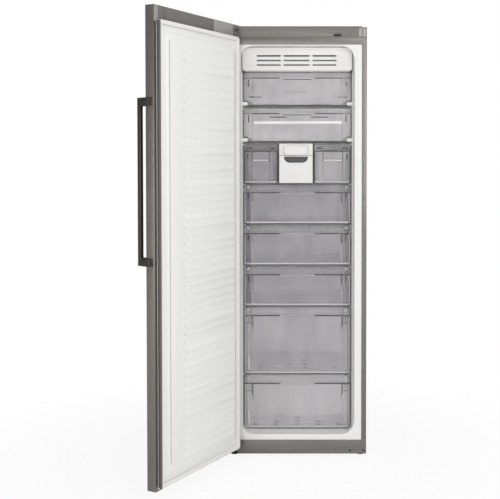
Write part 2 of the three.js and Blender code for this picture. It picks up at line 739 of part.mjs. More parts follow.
const VENT_BACK = FLARE_DEPTH + 4;
const SHROUD_FRONT = CHAMBER_BACK - SHROUD_SETBACK;
const FAN_Z = VENT_FOOT + 14;
const TRAY_SHEET = 2.5;
const TRAY_FLAT = VENT_FOOT - TRAY_DROP;

// Outline of a slot with chamfered ends.
function slotShape([u0, u1], [v0, v1]) {
  const end = (v1 - v0) / 3;
  return polygon([
    [u0 + end, v0],
    [u1 - end, v0],
    [u1, v0 + end],
    [u1, v1 - end],
    [u1 - end, v1],
    [u0 + end, v1],
    [u0, v1 - end],
    [u0, v0 + end],
  ]);
}

function evaporatorCover() {
  const half = CHAMBER_HALF - VENT_MARGIN;
  const head = VENT_FOOT + VENT_HEIGHT;
  const outline = (inset) => roundedRect(
    [-half + inset, half - inset],
    [VENT_FOOT + inset, head - inset],
    VENT_RADIUS - inset,
    VENT_TOP_RADIUS - inset,
  );
  const shell = cut(
    extrude(outline(0), 'y', VENT_FRONT, VENT_BACK),
    extrude(outline(VENT_WALL), 'y', VENT_FRONT + VENT_WALL, VENT_BACK + 1),
  );
  const fixing = box([-150, 150], [VENT_BACK - 4, VENT_BACK], [head - 1, CHAMBER_CEILING - GAP]);
  const total = VENT_COLUMNS.reduce((sum, width) => sum + width + VENT_COLUMN_GAP, -VENT_COLUMN_GAP);
  const slots = [];
  let left = -total / 2 - VENT_SLOT_SHIFT;
  VENT_COLUMNS.forEach((width) => {
    for (let row = 0; row < VENT_ROWS; row += 1) {
      const z = VENT_FOOT + VENT_MIDDLE_ROW + (row - 1) * VENT_ROW_PITCH;
      const slot = slotShape([left, left + width], [z - VENT_SLOT_HEIGHT / 2, z + VENT_SLOT_HEIGHT / 2]);
      slots.push(extrude(slot, 'y', VENT_FRONT - 1, VENT_FRONT + VENT_WALL + 1));
    }
    left += width + VENT_COLUMN_GAP;
  });
  return cut(join(shell, fixing), ...slots);
}

// Sloping tray under the evaporator; it drains to the rear and has side walls.
function evaporatorTray() {
  const half = CHAMBER_HALF - TRAY_MARGIN;
  const front = VENT_BACK + 1;
  const rear = DUCT_FRONT - GAP;
  const lead = RECESSED_PLANE + 12;
  const profile = (rise) => polygon([
    [front, VENT_FOOT - TRAY_SHEET],
    [lead, VENT_FOOT - TRAY_SHEET],
    [SHROUD_FRONT, TRAY_FLAT - TRAY_SHEET],
    [rear, TRAY_FLAT - TRAY_SHEET],
    [rear, TRAY_FLAT + rise],
    [SHROUD_FRONT, TRAY_FLAT + rise],
    [lead, VENT_FOOT + rise],
    [front, VENT_FOOT + rise],
  ]);
  const wall = extrude(profile(14), 'x', half - TRAY_SHEET, half);
  const ledgeSide = box([half - 1, CHAMBER_HALF - CHAMBER_DRAFT - GAP], [front + 4, rear],
    [VENT_FOOT + 5, VENT_FOOT + 8]);
  const brace = extrude(polygon([
    [front + 4, VENT_FOOT - 2],
    [rear, TRAY_FLAT - 1],
    [rear, VENT_FOOT + 8],
    [front + 4, VENT_FOOT + 8],
  ]), 'x', half - TRAY_SHEET, half);
  const notch = box([CHAMBER_HALF - 68, half + 1], [SHROUD_FRONT - 14, SHROUD_FRONT - 8],
    [TRAY_FLAT - 9, TRAY_FLAT + 4]);
  const floor = extrude(profile(0), 'x', -half, half);
  return cut(join(floor, mirrorPair(join(wall, ledgeSide, brace))), mirrorPair(notch));
}

const COIL_HALF = CHAMBER_HALF - TRAY_MARGIN - 26;
const COIL_MIDDLE = VENT_FOOT + 54;
const FIN_SHEET = 1.5;

// Finned coil: a comb of fins with tube bends at both ends.
function evaporatorCoil() {
  const half = COIL_HALF;
  const middle = COIL_MIDDLE;
  const finHeight = 32;
  const finCount = 8;
  const spine = 6;
  const front = VENT_BACK + 46;
  const rear = SHROUD_FRONT - 60;
  const pitch = (half * 2 - FIN_SHEET) / (finCount - 1);
  const comb = new THREE.Shape();
  comb.moveTo(-half, middle - finHeight);
  for (let i = 0; i < finCount; i += 1) {
    const x = -half + i * pitch;
    comb.lineTo(x, middle - finHeight);
    comb.lineTo(x + FIN_SHEET, middle - finHeight);
    comb.lineTo(x + FIN_SHEET, middle - spine);
    if (i + 1 < finCount) comb.lineTo(x + pitch, middle - spine);
  }
  for (let i = finCount - 1; i >= 0; i -= 1) {
    const x = -half + i * pitch;
    comb.lineTo(x + FIN_SHEET, middle + spine);
    comb.lineTo(x + FIN_SHEET, middle + finHeight);
    comb.lineTo(x, middle + finHeight);
    if (i > 0) comb.lineTo(x, middle + spine);
  }
  const passes = 3;
  const passPitch = (rear - front - 40) / (passes - 1);
  const bends = [];
  for (let i = 0; i + 1 < passes; i += 1) {
    const side = i % 2 === 0 ? 1 : -1;
    const y = front + 20 + passPitch * (i + 0.5);
    const points = Array.from({ length: 5 }, (_, k) => {
      const angle = (Math.PI * k) / 4 - Math.PI / 2;
      const reach = half - 3 + 18 * Math.cos(angle);
      return new THREE.Vector3(side * reach, y + (passPitch / 2) * Math.sin(angle), middle);
    });
    bends.push(tube(new THREE.CatmullRomCurve3(points), PIPE_RADIUS, 5, 6));
  }
  return join(extrude(comb, 'y', front, rear), ...bends);
}

// Straps that carry the coil from the ceiling of the chamber.
function evaporatorHangers() {
  return mirrorPair(box(
    [COIL_HALF - FIN_SHEET + 0.1, COIL_HALF],
    [VENT_BACK + 60, VENT_BACK + 90],
    [COIL_MIDDLE, CHAMBER_CEILING - 2 * GAP],
  ));
}

function fanShroud() {
  const half = CHAMBER_HALF - TRAY_MARGIN - TRAY_SHEET - 1;
  const sheet = 3;
  const centre = [0, FAN_Z];
  const bore = FAN_RADIUS + 4;
  const motorFront = SHROUD_FRONT + 28;
  const reach = FAN_Z + bore;
  const strut = box([-4, 4], [SHROUD_FRONT + 1, motorFront + 4], [reach + 2, reach + 7]);
  const arm = box([-4, 4], [motorFront, motorFront + 4], [FAN_Z + 10, reach + 7]);
  const spider = [0, 120, 240].map((angle) => turned(join(strut, arm), AXIS_Y, angle, [0, 0, FAN_Z]));
  const back = SHROUD_FRONT + sheet;
  const plate = box([-half, half], [SHROUD_FRONT, back], [TRAY_FLAT + 1, CHAMBER_CEILING - 5]);
  const collar = rod('y', bore + 3, SHROUD_FRONT - 10, SHROUD_FRONT + 1, centre, 18);
  return join(
    cut(join(plate, collar), rod('y', bore, SHROUD_FRONT - 11, back + 1, centre, 18)),
    ...spider,
    cut(
      rod('y', 26, motorFront, motorFront + 24, centre),
      shaftHole('y', 3, motorFront - 1, motorFront + 18, centre, 8),
    ),
  );
}

function fanImpeller() {
  const front = SHROUD_FRONT - 6;
  const hubBack = SHROUD_FRONT + 20;
  const camber = new THREE.Shape();
  camber.moveTo(-19, 0);
  camber.quadraticCurveTo(0, 9, 19, 0);
  camber.lineTo(19, -1.6);
  camber.quadraticCurveTo(0, 7, -19, -1.6);
  const upright = turned(extrude(camber, 'z', FAN_HUB - 5, FAN_RADIUS, 2), AXIS_Z, 52, [0, 0, 0]);
  const blade = upright.translate([0, SHROUD_FRONT + 4, FAN_Z]);
  const blades = Array.from({ length: FAN_BLADES }, (_, i) => (
    turned(blade, AXIS_Y, (360 * i) / FAN_BLADES, [0, 0, FAN_Z])
  ));
  return join(
    rod('y', FAN_HUB, front, hubBack, [0, FAN_Z], 16),
    rod('y', 3, hubBack - 1, SHROUD_FRONT + 42, [0, FAN_Z], 8),
    ...blades,
  );
}

// ---------------------------------------------------------------- flaps and drawers

// Section of a front: turned-in foot, face, ledge at the grip and wall set back above it.
function frontSection(foot, head, gripHeight) {
  const bend = 7;
  const faceTop = head - gripHeight;
  const section = new THREE.Shape();
  section.moveTo(FRONT_PLANE + bend + 4, foot);
  section.lineTo(FRONT_PLANE + bend + 4, foot + FRONT_WALL);
  section.lineTo(FRONT_PLANE + bend, foot + FRONT_WALL);
  section.absarc(FRONT_PLANE + bend, foot + bend, bend - FRONT_WALL, Math.PI * 1.5, Math.PI, true);
  section.lineTo(FRONT_PLANE + FRONT_WALL, faceTop - FRONT_WALL);
  section.lineTo(RECESSED_PLANE + FRONT_WALL, faceTop - FRONT_WALL);
  section.lineTo(RECESSED_PLANE + FRONT_WALL, head);
  section.lineTo(RECESSED_PLANE, head);
  section.lineTo(RECESSED_PLANE, faceTop);
  section.lineTo(FRONT_PLANE + 1.5, faceTop);
  section.lineTo(FRONT_PLANE, faceTop - 1.5);
  section.absarc(FRONT_PLANE + bend, foot + bend, bend, Math.PI, Math.PI * 1.5);
  return section;
}

// Full-width or narrow front with rounded lower corners, stiffening ribs and a hand recess.
function steppedFront([left, right], foot, head, gripHeight, recess, radius = FRONT_RADIUS) {
  const faceTop = head - gripHeight;
  const middle = (left + right) / 2;
  const outline = extrude(roundedRect([left, right], [foot - 0.01, head], radius, 5), 'y',
    FRONT_PLANE - 1, RECESSED_PLANE + FRONT_WALL + 1);
  const wall = extrude(frontSection(foot, head, gripHeight), 'x', left, right, 1);
  const behindFace = [FRONT_PLANE + 1, RECESSED_PLANE + 1];
  const cheeks = [[left, left + FRONT_WALL], [right - FRONT_WALL, right]].map((x) => (
    box(x, behindFace, [foot + 3, faceTop - 1])
  ));
  const ribs = !recess ? [] : [left + RIB_INSET, right - RIB_INSET - 2].map((x) => (
    box([x, x + 2], [FRONT_PLANE + 1, FRONT_PLANE + FRONT_WALL + 2], [faceTop - 70, faceTop - 1])
  ));
  let front = join(wall, ...cheeks, ...ribs).intersect(outline);
  if (recess) {
    const half = HAND_RECESS / 2;
    const dip = faceTop - HAND_RECESS_DROP;
    const scoop = new THREE.Shape();
    scoop.moveTo(middle - half, faceTop + 1);
    scoop.quadraticCurveTo(middle - half + 6, dip, middle - half + 18, dip);
    scoop.lineTo(middle + half - 18, dip);
    scoop.quadraticCurveTo(middle + half - 6, dip, middle + half, faceTop + 1);
    const slits = [left + SLIT_INSET, right - SLIT_INSET].map((x) => (
      box([x - 1.5, x + 1.5], [FRONT_PLANE - 1, FRONT_PLANE + FRONT_WALL + 0.5],
        [faceTop - 8 - SLIT_HEIGHT, faceTop - 8])
    ));
    const shelfUnderScoop = box([middle - half, middle + half], [FRONT_PLANE + 1, RECESSED_PLANE + 1],
      [dip - FRONT_WALL, dip]);
    const scoopSolid = extrude(scoop, 'y', FRONT_PLANE - 1, RECESSED_PLANE);
    front = join(cut(front, scoopSolid), shelfUnderScoop);
    front = cut(front, ...slits);
  }
  return front;
}

// Open tub with draft, rounded corners and a turned-out rim.
function tub([left, right], [front, back], [foot, head], wall = TUB_WALL, draft = TUB_DRAFT) {
  const rim = 2;
  const ring = (inset, z, radius) => (
    loftRing([left + inset, right - inset], [front + inset / 2, back - inset], radius, z, 2)
  );
  const outer = loft([
    ring(draft + 6, foot, TUB_RADIUS - 5),
    ring(draft, foot + 6, TUB_RADIUS),
    ring(TUB_RIM, head - rim / 2, TUB_RADIUS),
  ], 'z');
  const inner = loft([
    ring(draft + 6 + wall, foot + wall, TUB_RADIUS - 5 - wall / 2),
    ring(draft + wall, foot + 6 + wall / 2, TUB_RADIUS - wall),
    ring(TUB_RIM + wall, head + 1, TUB_RADIUS - wall),
  ], 'z');
  const rimPlate = extrude(roundedRect([left, right], [front, back], TUB_RADIUS), 'z', head - rim, head, 1);
  return cut(join(outer, rimPlate), inner);
}

function floorSlot(x, y, length, floor) {
  return box([x - length / 2, x + length / 2], [y - 2.5, y + 2.5], [floor - 1, floor + 8]);
}

// Rows of drain slots: distance behind the front plane, pitch across, count and length.
const FINE_SLOTS = [[110, 67, 6, 18]];
const TALL_SLOTS = [[109, 67, 6, 18], [185, 67, 4, 18], [256, 52, 2, 18]];
const BOTTOM_SLOTS = [[41, 92.4, 5, 22], [89, 92.4, 3, 22], [145, 92.4, 1, 34]];

const DRAWERS = [
  { name: 'drawer_5', cell: 0, slots: BOTTOM_SLOTS, depth: STEP_FRONT - STEP_CLEARANCE },
  { name: 'drawer_4', cell: 1, slots: TALL_SLOTS, depth: TUB_BACK },
  { name: 'drawer_3', cell: 2, slots: FINE_SLOTS, depth: TUB_BACK },
  { name: 'drawer_2', cell: 3, slots: FINE_SLOTS, depth: TUB_BACK },
  { name: 'drawer_1', cell: 4, slots: FINE_SLOTS, depth: TUB_BACK },
];

// What a tub rests on: rails on the floor of the liner for the lowest one, a shelf for the rest.
function cellFloor(cell) {
  return cell === 0 ? CHAMBER_FLOOR + RAIL_HEIGHT : LEVELS[cell - 1] + SHELF_THICKNESS / 2;
}

function drawerTub({ cell, slots, depth }) {
  const foot = cellFloor(cell) + GAP;
  const head = LEVELS[cell] - SHELF_THICKNESS / 2 - LEDGE_HEIGHT - 4;
  const half = CHAMBER_HALF - TUB_MARGIN + TUB_RIM;
  const cuts = slots.flatMap(([behind, pitch, count, length]) => Array.from({ length: count }, (_, i) => (
    floorSlot((i - (count - 1) / 2) * pitch, FRONT_PLANE + behind, length, foot)
  )));
  return cut(tub([-half, half], [TUB_FRONT, depth], [foot, head]), ...cuts);
}

function drawerFront({ cell }) {
  const foot = cellFloor(cell) + (cell === 0 ? GAP : 1.5);
  const head = LEVELS[cell] - SHELF_THICKNESS / 2 - 2;
  const radius = cell === 0 ? BOTTOM_FRONT_RADIUS : FRONT_RADIUS;
  return steppedFront([-FRONT_HALF, FRONT_HALF], foot, head, GRIP_HEIGHT, true, radius);
}

function flap(index) {
  const foot = flapFoot(index);
  const above = SHELF_LEVELS[index + 1];
  const ceiling = above ? above - SHELF_THICKNESS / 2 : VENT_FOOT - TRAY_SHEET;
  const head = ceiling - 2.5;
  const y = FRONT_PLANE + PIVOT_DEPTH;
  const z = foot + PIVOT_RISE;
  const lugEdge = CHAMBER_HALF + 1 - LUG_WIDTH;
  const clearLug = box([lugEdge - 1, FRONT_HALF + 1], [FRONT_PLANE - 1, RECESSED_PLANE + 5],
    [foot - 1, foot + PIVOT_RISE + LUG_HEIGHT / 2 + 6]);
  const boss = join(
    rod('x', PIVOT_RADIUS + 3, lugEdge - 16, lugEdge - GAP, [y, z], 8),
    rod('x', PIVOT_RADIUS, lugEdge - 2, lugEdge + LUG_WIDTH - 6, [y, z], 8),
  );
  const panel = steppedFront([-FRONT_HALF, FRONT_HALF], foot, head, FLAP_GRIP_HEIGHT, true);
  return join(cut(panel, mirrorPair(clearLug)), mirrorPair(boss));
}

// Small drawer beside the ice maker, moulded in one piece with its front.
function smallDrawer([left, right]) {
  const foot = cellFloor(5) + GAP;
  const head = LEVELS[5] - SHELF_THICKNESS / 2 - 2;
  const middle = (left + right) / 2;
  const back = FRONT_PLANE + ICE_DEPTH;
  const face = steppedFront([left, right], foot, head, 30, false);
  const rimHeight = head - LEDGE_HEIGHT - 2;
  const basket = tub([left + 9, right - 9], [RECESSED_PLANE + 1, back], [foot, rimHeight], TUB_WALL, 3);
  const pull = box([middle - 35, middle + 35], [FRONT_PLANE - 2, FRONT_PLANE + 1], [foot + 94, foot + 98]);
  const scoop = roundedRect([middle - 38, middle + 38], [head - 30 - 1.5, head - 20], 0.5);
  return join(cut(join(face, basket), extrude(scoop, 'y', FRONT_PLANE - 1, FRONT_PLANE + 4, 1)), pull);
}

// ---------------------------------------------------------------- ice maker

const ICE_HEAD = LEVELS[5] - SHELF_THICKNESS / 2 - GAP;
const ICE_FLOOR = cellFloor(5) + GAP;
const ICE_MIDDLE = (ICE_LEFT + ICE_RIGHT) / 2;
const LEVER_Z = ICE_HEAD - 28.7;
const ICE_BACK = FRONT_PLANE + ICE_DEPTH;
const LEVER_NECK = 8; // radius where the lever passes the housing
const TANG = 4;

function iceMakerHousing() {
  const upperFoot = ICE_HEAD - ICE_UPPER;
  const frontPlate = extrude(roundedRect([ICE_LEFT, ICE_RIGHT], [upperFoot, ICE_HEAD], 2), 'y',
    FRONT_PLANE, FRONT_PLANE + ICE_WALL, 2);
  const roof = box([ICE_LEFT, ICE_RIGHT], [FRONT_PLANE + 1, ICE_BACK], [ICE_HEAD - ICE_WALL, ICE_HEAD]);
  const sides = [[ICE_LEFT, ICE_LEFT + ICE_WALL], [ICE_RIGHT - ICE_WALL, ICE_RIGHT]].map((x) => join(
    box(x, [FRONT_PLANE + 1, ICE_BACK], [upperFoot, ICE_HEAD - 1]),
    box(x, [FRONT_PLANE + 8, ICE_BACK], [ICE_FLOOR, upperFoot + 1]),
  ));
  const rearFace = ICE_BACK - ICE_WALL;
  const rear = box([ICE_LEFT + 1, ICE_RIGHT - 1], [rearFace, ICE_BACK], [upperFoot - 20, ICE_HEAD - 1]);
  const axis = [ICE_MIDDLE, LEVER_Z];
  return cut(
    join(frontPlate, roof, ...sides, rear),
    shaftHole('y', LEVER_NECK, FRONT_PLANE - 1, FRONT_PLANE + ICE_WALL + 1, axis),
    shaftHole('y', AXLE_RADIUS, rearFace - 1, ICE_BACK + 1, axis, 8),
  );
}

// Lever in front of the housing; its square tang turns the ice tray.
function twistLever() {
  const face = FRONT_PLANE - 4;
  const end = LEVER_LENGTH / 2;
  const half = LEVER_HEIGHT / 2;
  const pill = (grow) => roundedRect([ICE_MIDDLE - end - grow, ICE_MIDDLE + end + grow],
    [LEVER_Z - half - grow, LEVER_Z + half + grow], half + grow - 0.05);
  const plate = extrude(pill(0), 'y', face - LEVER_THICKNESS, face, 3);
  const dish = extrude(pill(-4), 'y', face - LEVER_THICKNESS - 1, face - LEVER_THICKNESS + 2, 3);
  return join(
    cut(plate, dish),
    rod('y', 5, face - LEVER_THICKNESS, face - LEVER_THICKNESS + 3, [ICE_MIDDLE, LEVER_Z]),
    rod('y', LEVER_NECK, face - 1, FRONT_PLANE + 12, [ICE_MIDDLE, LEVER_Z]),
    box([ICE_MIDDLE - TANG, ICE_MIDDLE + TANG], [FRONT_PLANE + 11, FRONT_PLANE + 24],
      [LEVER_Z - TANG, LEVER_Z + TANG]),
  );
}

// Two rows of tapered cells that turn over inside the housing.
function iceTray() {
  const front = FRONT_PLANE + 12 + GAP;
  const back = ICE_BACK - ICE_WALL - 6;
  const halfTop = 24;
  const halfFoot = 16;
  const top = LEVER_Z + 3;
  const foot = LEVER_Z - 18;
  const body = extrude(polygon([
    [ICE_MIDDLE - halfTop, top],
    [ICE_MIDDLE - halfTop, top - 3],
    [ICE_MIDDLE - halfFoot, foot],
    [ICE_MIDDLE + halfFoot, foot],
    [ICE_MIDDLE + halfTop, top - 3],
    [ICE_MIDDLE + halfTop, top],
  ]), 'y', front, back);
  const pocketFront = front + 18;
  const pitch = (back - 4 - pocketFront) / TRAY_CELLS;
  const pockets = [];
  for (let i = 0; i < TRAY_CELLS; i += 1) {
    const y = [pocketFront + i * pitch + 2, pocketFront + (i + 1) * pitch - 2];
    [[-halfTop + 2, -1.2], [1.2, halfTop - 2]].forEach(([x0, x1]) => {
      const x = [ICE_MIDDLE + x0, ICE_MIDDLE + x1];
      const inset = (range, by) => [range[0] + by, range[1] - by];
      const leanX = x0 < 0 ? [x[0] + 6, x[1] - 1.5] : [x[0] + 1.5, x[1] - 6];
      pockets.push(loft([
        loftRing(leanX, inset(y, 4), 3, foot + 2.5, 1),
        loftRing(x, y, 4, top + 1, 1),
      ], 'z'));
    });
  }
  const socket = TANG + GAP;
  return cut(
    join(body, rod('y', AXLE_RADIUS, back - 1, ICE_BACK, [ICE_MIDDLE, LEVER_Z], 8)),
    ...pockets,
    box([ICE_MIDDLE - socket, ICE_MIDDLE + socket], [front - 1, FRONT_PLANE + 24 + GAP],
      [LEVER_Z - socket, LEVER_Z + socket]),
  );
}

// Bin under the tray, with a half-moon opening in its front.
function iceBin() {
  const head = ICE_HEAD - ICE_UPPER - 1.5;
  const foot = ICE_FLOOR;
  const front = extrude(roundedRect([ICE_LEFT + 0.5, ICE_RIGHT - 0.5], [foot, head], 4, 2), 'y',
    FRONT_PLANE, FRONT_PLANE + ICE_WALL, 2);
  const sideClearance = ICE_WALL + 1.5;
  const basket = tub(
    [ICE_LEFT + sideClearance, ICE_RIGHT - sideClearance],
    [FRONT_PLANE + ICE_WALL - 1, ICE_BACK - 8],
    [foot, head - 4],
    ICE_WALL,
    3,
  );
  const moonHalf = 53;
  const moonDrop = 26;
  const moonTop = head - 4;
  const moonFoot = moonTop - moonDrop;
  const [moonLeft, moonRight] = [ICE_MIDDLE - moonHalf, ICE_MIDDLE + moonHalf];
  const moon = new THREE.Shape();
  moon.moveTo(moonLeft, moonTop);
  moon.quadraticCurveTo(moonLeft + 3, moonFoot, moonLeft + 28, moonFoot);
  moon.lineTo(moonRight - 28, moonFoot);
  moon.quadraticCurveTo(moonRight - 3, moonFoot, moonRight, moonTop);
  return cut(join(front, basket), extrude(moon, 'y', FRONT_PLANE - 1, FRONT_PLANE + 16, 4));
}

// ---------------------------------------------------------------- machine compartment

const COMPRESSOR_AT = [-105, 445];
const COMPRESSOR_FOOT = RUNNER_TOP + GAP;

function compressor() {
  const [x, y] = COMPRESSOR_AT;
  const foot = COMPRESSOR_FOOT + 14;
  const r = COMPRESSOR_RADIUS;
  const h = COMPRESSOR_HEIGHT;
  const pot = revolve([
    [0, foot],
    [r * 0.8, foot],
    [r * 0.97, foot + 14],
    [r, foot + h * 0.5],
    [r + 4, foot + h * 0.5 + 2],
    [r + 4, foot + h * 0.5 + 7],
    [r, foot + h * 0.5 + 9],
    [r * 0.9, foot + h * 0.84],
    [r * 0.55, foot + h],
    [0, foot + h],
  ], [x, y], 14);
  const plate = extrude(roundedRect([x - 95, x + 95], [y - 62, y + 62], 12), 'z', foot - 3, foot + 1);
  const grommets = [-80, 80].flatMap((dx) => [-48, 48].map((dy) => (
    rod('z', 10, COMPRESSOR_FOOT, foot - 2, [x + dx, y + dy], 8)
  )));
  const terminalBox = box([x + r - 10, x + r + 34], [y - 28, y + 28], [foot + 30, foot + 92]);
  return join(pot, plate, terminalBox, ...grommets);
}

function compressorHead() {
  return COMPRESSOR_FOOT + 14 + COMPRESSOR_HEIGHT;
}

function dripTray() {
  const [x, y] = COMPRESSOR_AT;
  const foot = compressorHead() + GAP;
  return tub([x - 105, x + 105], [y - 85, y + 85], [foot, foot + 34], 2.5, 6);
}

// Discharge pipe with its filter, from the compressor to the front wall of the compartment.
function refrigerantPipes() {
  const [x, y] = COMPRESSOR_AT;
  const low = COMPRESSOR_FOOT + 60;
  const start = x + COMPRESSOR_RADIUS + 34 + GAP;
  const points = [
    [start, y, low + 10],
    [start + 40, y, low + 10],
    [start + 80, y + 30, low + 20],
    [start + 120, y + 10, low + 60],
    [start + 125, y - 40, low + 95],
    [start + 110, y - 90, low + 100],
    [start + 100, y - 130, low + 100],
    [start + 100, MACHINE_FRONT + GAP, low + 100],
  ].map((point) => new THREE.Vector3(...point));
  const pipe = tube(new THREE.CatmullRomCurve3(points), PIPE_RADIUS, 14, 6);
  const filter = rod('x', 9, start + 8, start + 34, [y, low + 10], 8);
  return join(pipe, filter);
}

const COVER_SHEET = 1.5; // of the machine compartment
const GLAND_X = 190;
const GLAND_Z = 66;
const GLAND_RADIUS = 9;
const GLAND_FLANGE = 13;
const GLAND_BORE = 4;

function machineCover() {
  const half = HALF_WIDTH - 5;
  const foot = RUNNER_TOP - 6;
  const head = MACHINE_CEILING;
  const front = CABINET_DEPTH - REAR_RIM + GAP;
  const slotLength = 170;
  const slotHeight = 8;
  const rowPitch = 24;
  const columns = [-190, 20];
  const rows = Array.from({ length: 5 }, (_, row) => foot + 80 + row * rowPitch);
  const slots = columns.flatMap((x) => rows.map((z) => (
    box([x, x + slotLength], [front - 1, front + COVER_SHEET + 1], [z, z + slotHeight])
  )));
  const plate = extrude(roundedRect([-half, half], [foot, head], 6), 'y', front, front + COVER_SHEET, 1);
  return cut(plate, ...slots, rod('y', GLAND_RADIUS + GAP, front - 1, front + 4, [GLAND_X, GLAND_Z]));
}

// Gland where the mains lead leaves the cabinet.
function mainsInlet() {
  const front = CABINET_DEPTH - REAR_RIM + GAP;
  const centre = [GLAND_X, GLAND_Z];
  return cut(
    join(
      rod('y', GLAND_RADIUS, front - 14, front + 2, centre),
      rod('y', GLAND_FLANGE, front + COVER_SHEET + GAP, front + 4, centre),
    ),
    rod('y', GLAND_BORE, front - 15, front + 5, centre, 8),
  );
}

// ---------------------------------------------------------------- hinges, feet and rollers

function hingeSlot() {
  const middle = DOOR_TOP - 22;
  return [middle - HINGE_SLOT_HEIGHT / 2, middle + HINGE_SLOT_HEIGHT / 2];
}

// Tongue with a round eye over the hinge axis, running back into the cabinet.
function hingeTongue(width, eye, back, z0, z1) {
  return join(
    rod('z', eye, z0, z1, [HINGE_X, HINGE_Y]),
    box([HINGE_X - width / 2, HINGE_X + width / 2], [HINGE_Y, back], [z0, z1]),
  );
}

function upperHinge() {
  const [slotFoot, slotHead] = hingeSlot();
  const z0 = slotFoot + 4;
  const z1 = slotHead - 4;
  const seat = COVER_FOOT + GAP;
  const left = -HALF_WIDTH + COVER_WALL + 3;
  return join(
    hingeTongue(HINGE_TONGUE, HINGE_EYE, 14, z0, z1),
    box([HINGE_X - HINGE_TONGUE / 2, HINGE_X + HINGE_TONGUE / 2], [10, 14], [seat, z1]),
    box([left, left + 70], [10, COVER_DEPTH - 8], [seat, seat + 4]),
    rod('z', HINGE_PIN, COVER_FOOT + 6, DOOR_TOP - 7, [HINGE_X, HINGE_Y]),
  );
}

function lowerHinge() {
  const z0 = RUNNER_TOP + GAP;
  const z1 = z0 + 3.7;
  const left = -HALF_WIDTH + 3;
  const right = -HALF_WIDTH + HINGE_BAY - 2;
  const leg = extrude(polygon([
    [left, FLOOR_GAP + 2],
    [right - 12, FLOOR_GAP + 2],
    [right, FLOOR_GAP + 14],
    [right, PLINTH_TOP - 1],
    [left, PLINTH_TOP - 1],
  ]), 'y', 3, 7);
  const plate = extrude(polygon([
    [left + 2, 3],
    [HINGE_X - 12, HINGE_Y],
    [HINGE_X + 12, HINGE_Y],
    [right, 3],
    [right, FOOT_SETBACK - 10],
    [left + 5, FOOT_SETBACK - 10],
    [left + 5, 7],
    [left + 2, 7],
  ]), 'z', z0, z1);
  return join(leg, plate, rod('z', 12, z0, z1, [HINGE_X, HINGE_Y]), rod('z', HINGE_PIN, z0, DOOR_FOOT + 25,
    [HINGE_X, HINGE_Y]));
}

function levellingFoot(side) {
  const x = side * (HALF_WIDTH - 5 - RUNNER_WIDTH / 2);
  const pad = revolve([
    [0, 0],
    [FOOT_RADIUS - 2, 0],
    [FOOT_RADIUS, 2],
    [FOOT_RADIUS, 8],
    [FOOT_STEM + 4, 11],
    [0, 11],
  ], [x, FOOT_SETBACK], 12);
  const nut = rod('z', 9, 10, 17, [x, FOOT_SETBACK], 3);
  return join(pad, nut, rod('z', FOOT_STEM, 10, RUNNER_TOP + 22, [x, FOOT_SETBACK], 8));
}

function rearRoller(side) {
  const x = side * (HALF_WIDTH - 5 - RUNNER_WIDTH / 2);
  const y = CABINET_DEPTH - ROLLER_SETBACK;
  const half = ROLLER_WIDTH / 2;
  const wheel = rod('x', ROLLER_RADIUS, x - half, x + half, [y, ROLLER_RADIUS], 16);
  return join(wheel, rod('x', AXLE_RADIUS, x - half - 5, x + half + 5, [y, ROLLER_RADIUS], 8));
}

// ---------------------------------------------------------------- door, drawn around its hinge axis

const DOOR_LEFT = -HINGE_INSET;
const DOOR_RIGHT = DOOR_LEFT + CABINET_WIDTH;
const DOOR_BACK = HINGE_FORWARD - DOOR_GAP; // inner side, towards the cabinet
const DOOR_FACE = DOOR_BACK - DOOR_EDGE;
const PANEL_X = [DOOR_LEFT + PANEL_MARGIN, DOOR_RIGHT - PANEL_MARGIN];
const PANEL_Z = [DOOR_FOOT + PANEL_FOOT, DOOR_TOP - CAP_HEIGHT];

function doorSkin() {
  const outside = roundedRectPlan([DOOR_LEFT, DOOR_RIGHT], [DOOR_FACE, DOOR_BACK], DOOR_CORNER);
  const inside = roundedRectPlan(
    [DOOR_LEFT + STEEL, DOOR_RIGHT - STEEL],
    [DOOR_FACE + STEEL, DOOR_BACK + 1],
    DOOR_CORNER - STEEL,
  );
  const tray = cut(
    extrude(outside, 'z', DOOR_FOOT, DOOR_TOP),
    extrude(inside, 'z', DOOR_FOOT - 1, DOOR_TOP + 1),
  );
  const hemWidth = PANEL_MARGIN - GAP;
  const hemBack = [DOOR_BACK - STEEL, DOOR_BACK];
  const hemHeight = [PANEL_Z[0] + GAP, PANEL_Z[1]];
  const [slotFoot, slotHead] = hingeSlot();
  const notch = box([DOOR_LEFT - 1, DOOR_LEFT + 3.5], [DOOR_FACE + HINGE_SLOT_WALL, DOOR_BACK + 1],
    [slotFoot - 1, slotHead + 1]);
  return cut(
    join(
      tray,
      box([DOOR_LEFT + STEEL / 2, DOOR_LEFT + hemWidth], hemBack, hemHeight),
      box([DOOR_RIGHT - hemWidth, DOOR_RIGHT - STEEL / 2], hemBack, hemHeight),
    ),
    notch,
  );
}

// Rectangle with its two front corners rounded.
function roundedRectPlan([x0, x1], [y0, y1], r) {
  const shape = new THREE.Shape();
  shape.moveTo(x0, y1);
  shape.lineTo(x0, y0 + r);
  shape.absarc(x0 + r, y0 + r, r, Math.PI, Math.PI * 1.5);
  shape.absarc(x1 - r, y0 + r, r, Math.PI * 1.5, Math.PI * 2);
  shape.lineTo(x1, y1);
  return shape;
}

// Plan of what fills the skin.
function corePlan(back) {
  const inset = STEEL + GAP;
  return roundedRectPlan(
    [DOOR_LEFT + inset, DOOR_RIGHT - inset],
    [DOOR_FACE + inset, back],
    DOOR_CORNER - inset,
  );
}

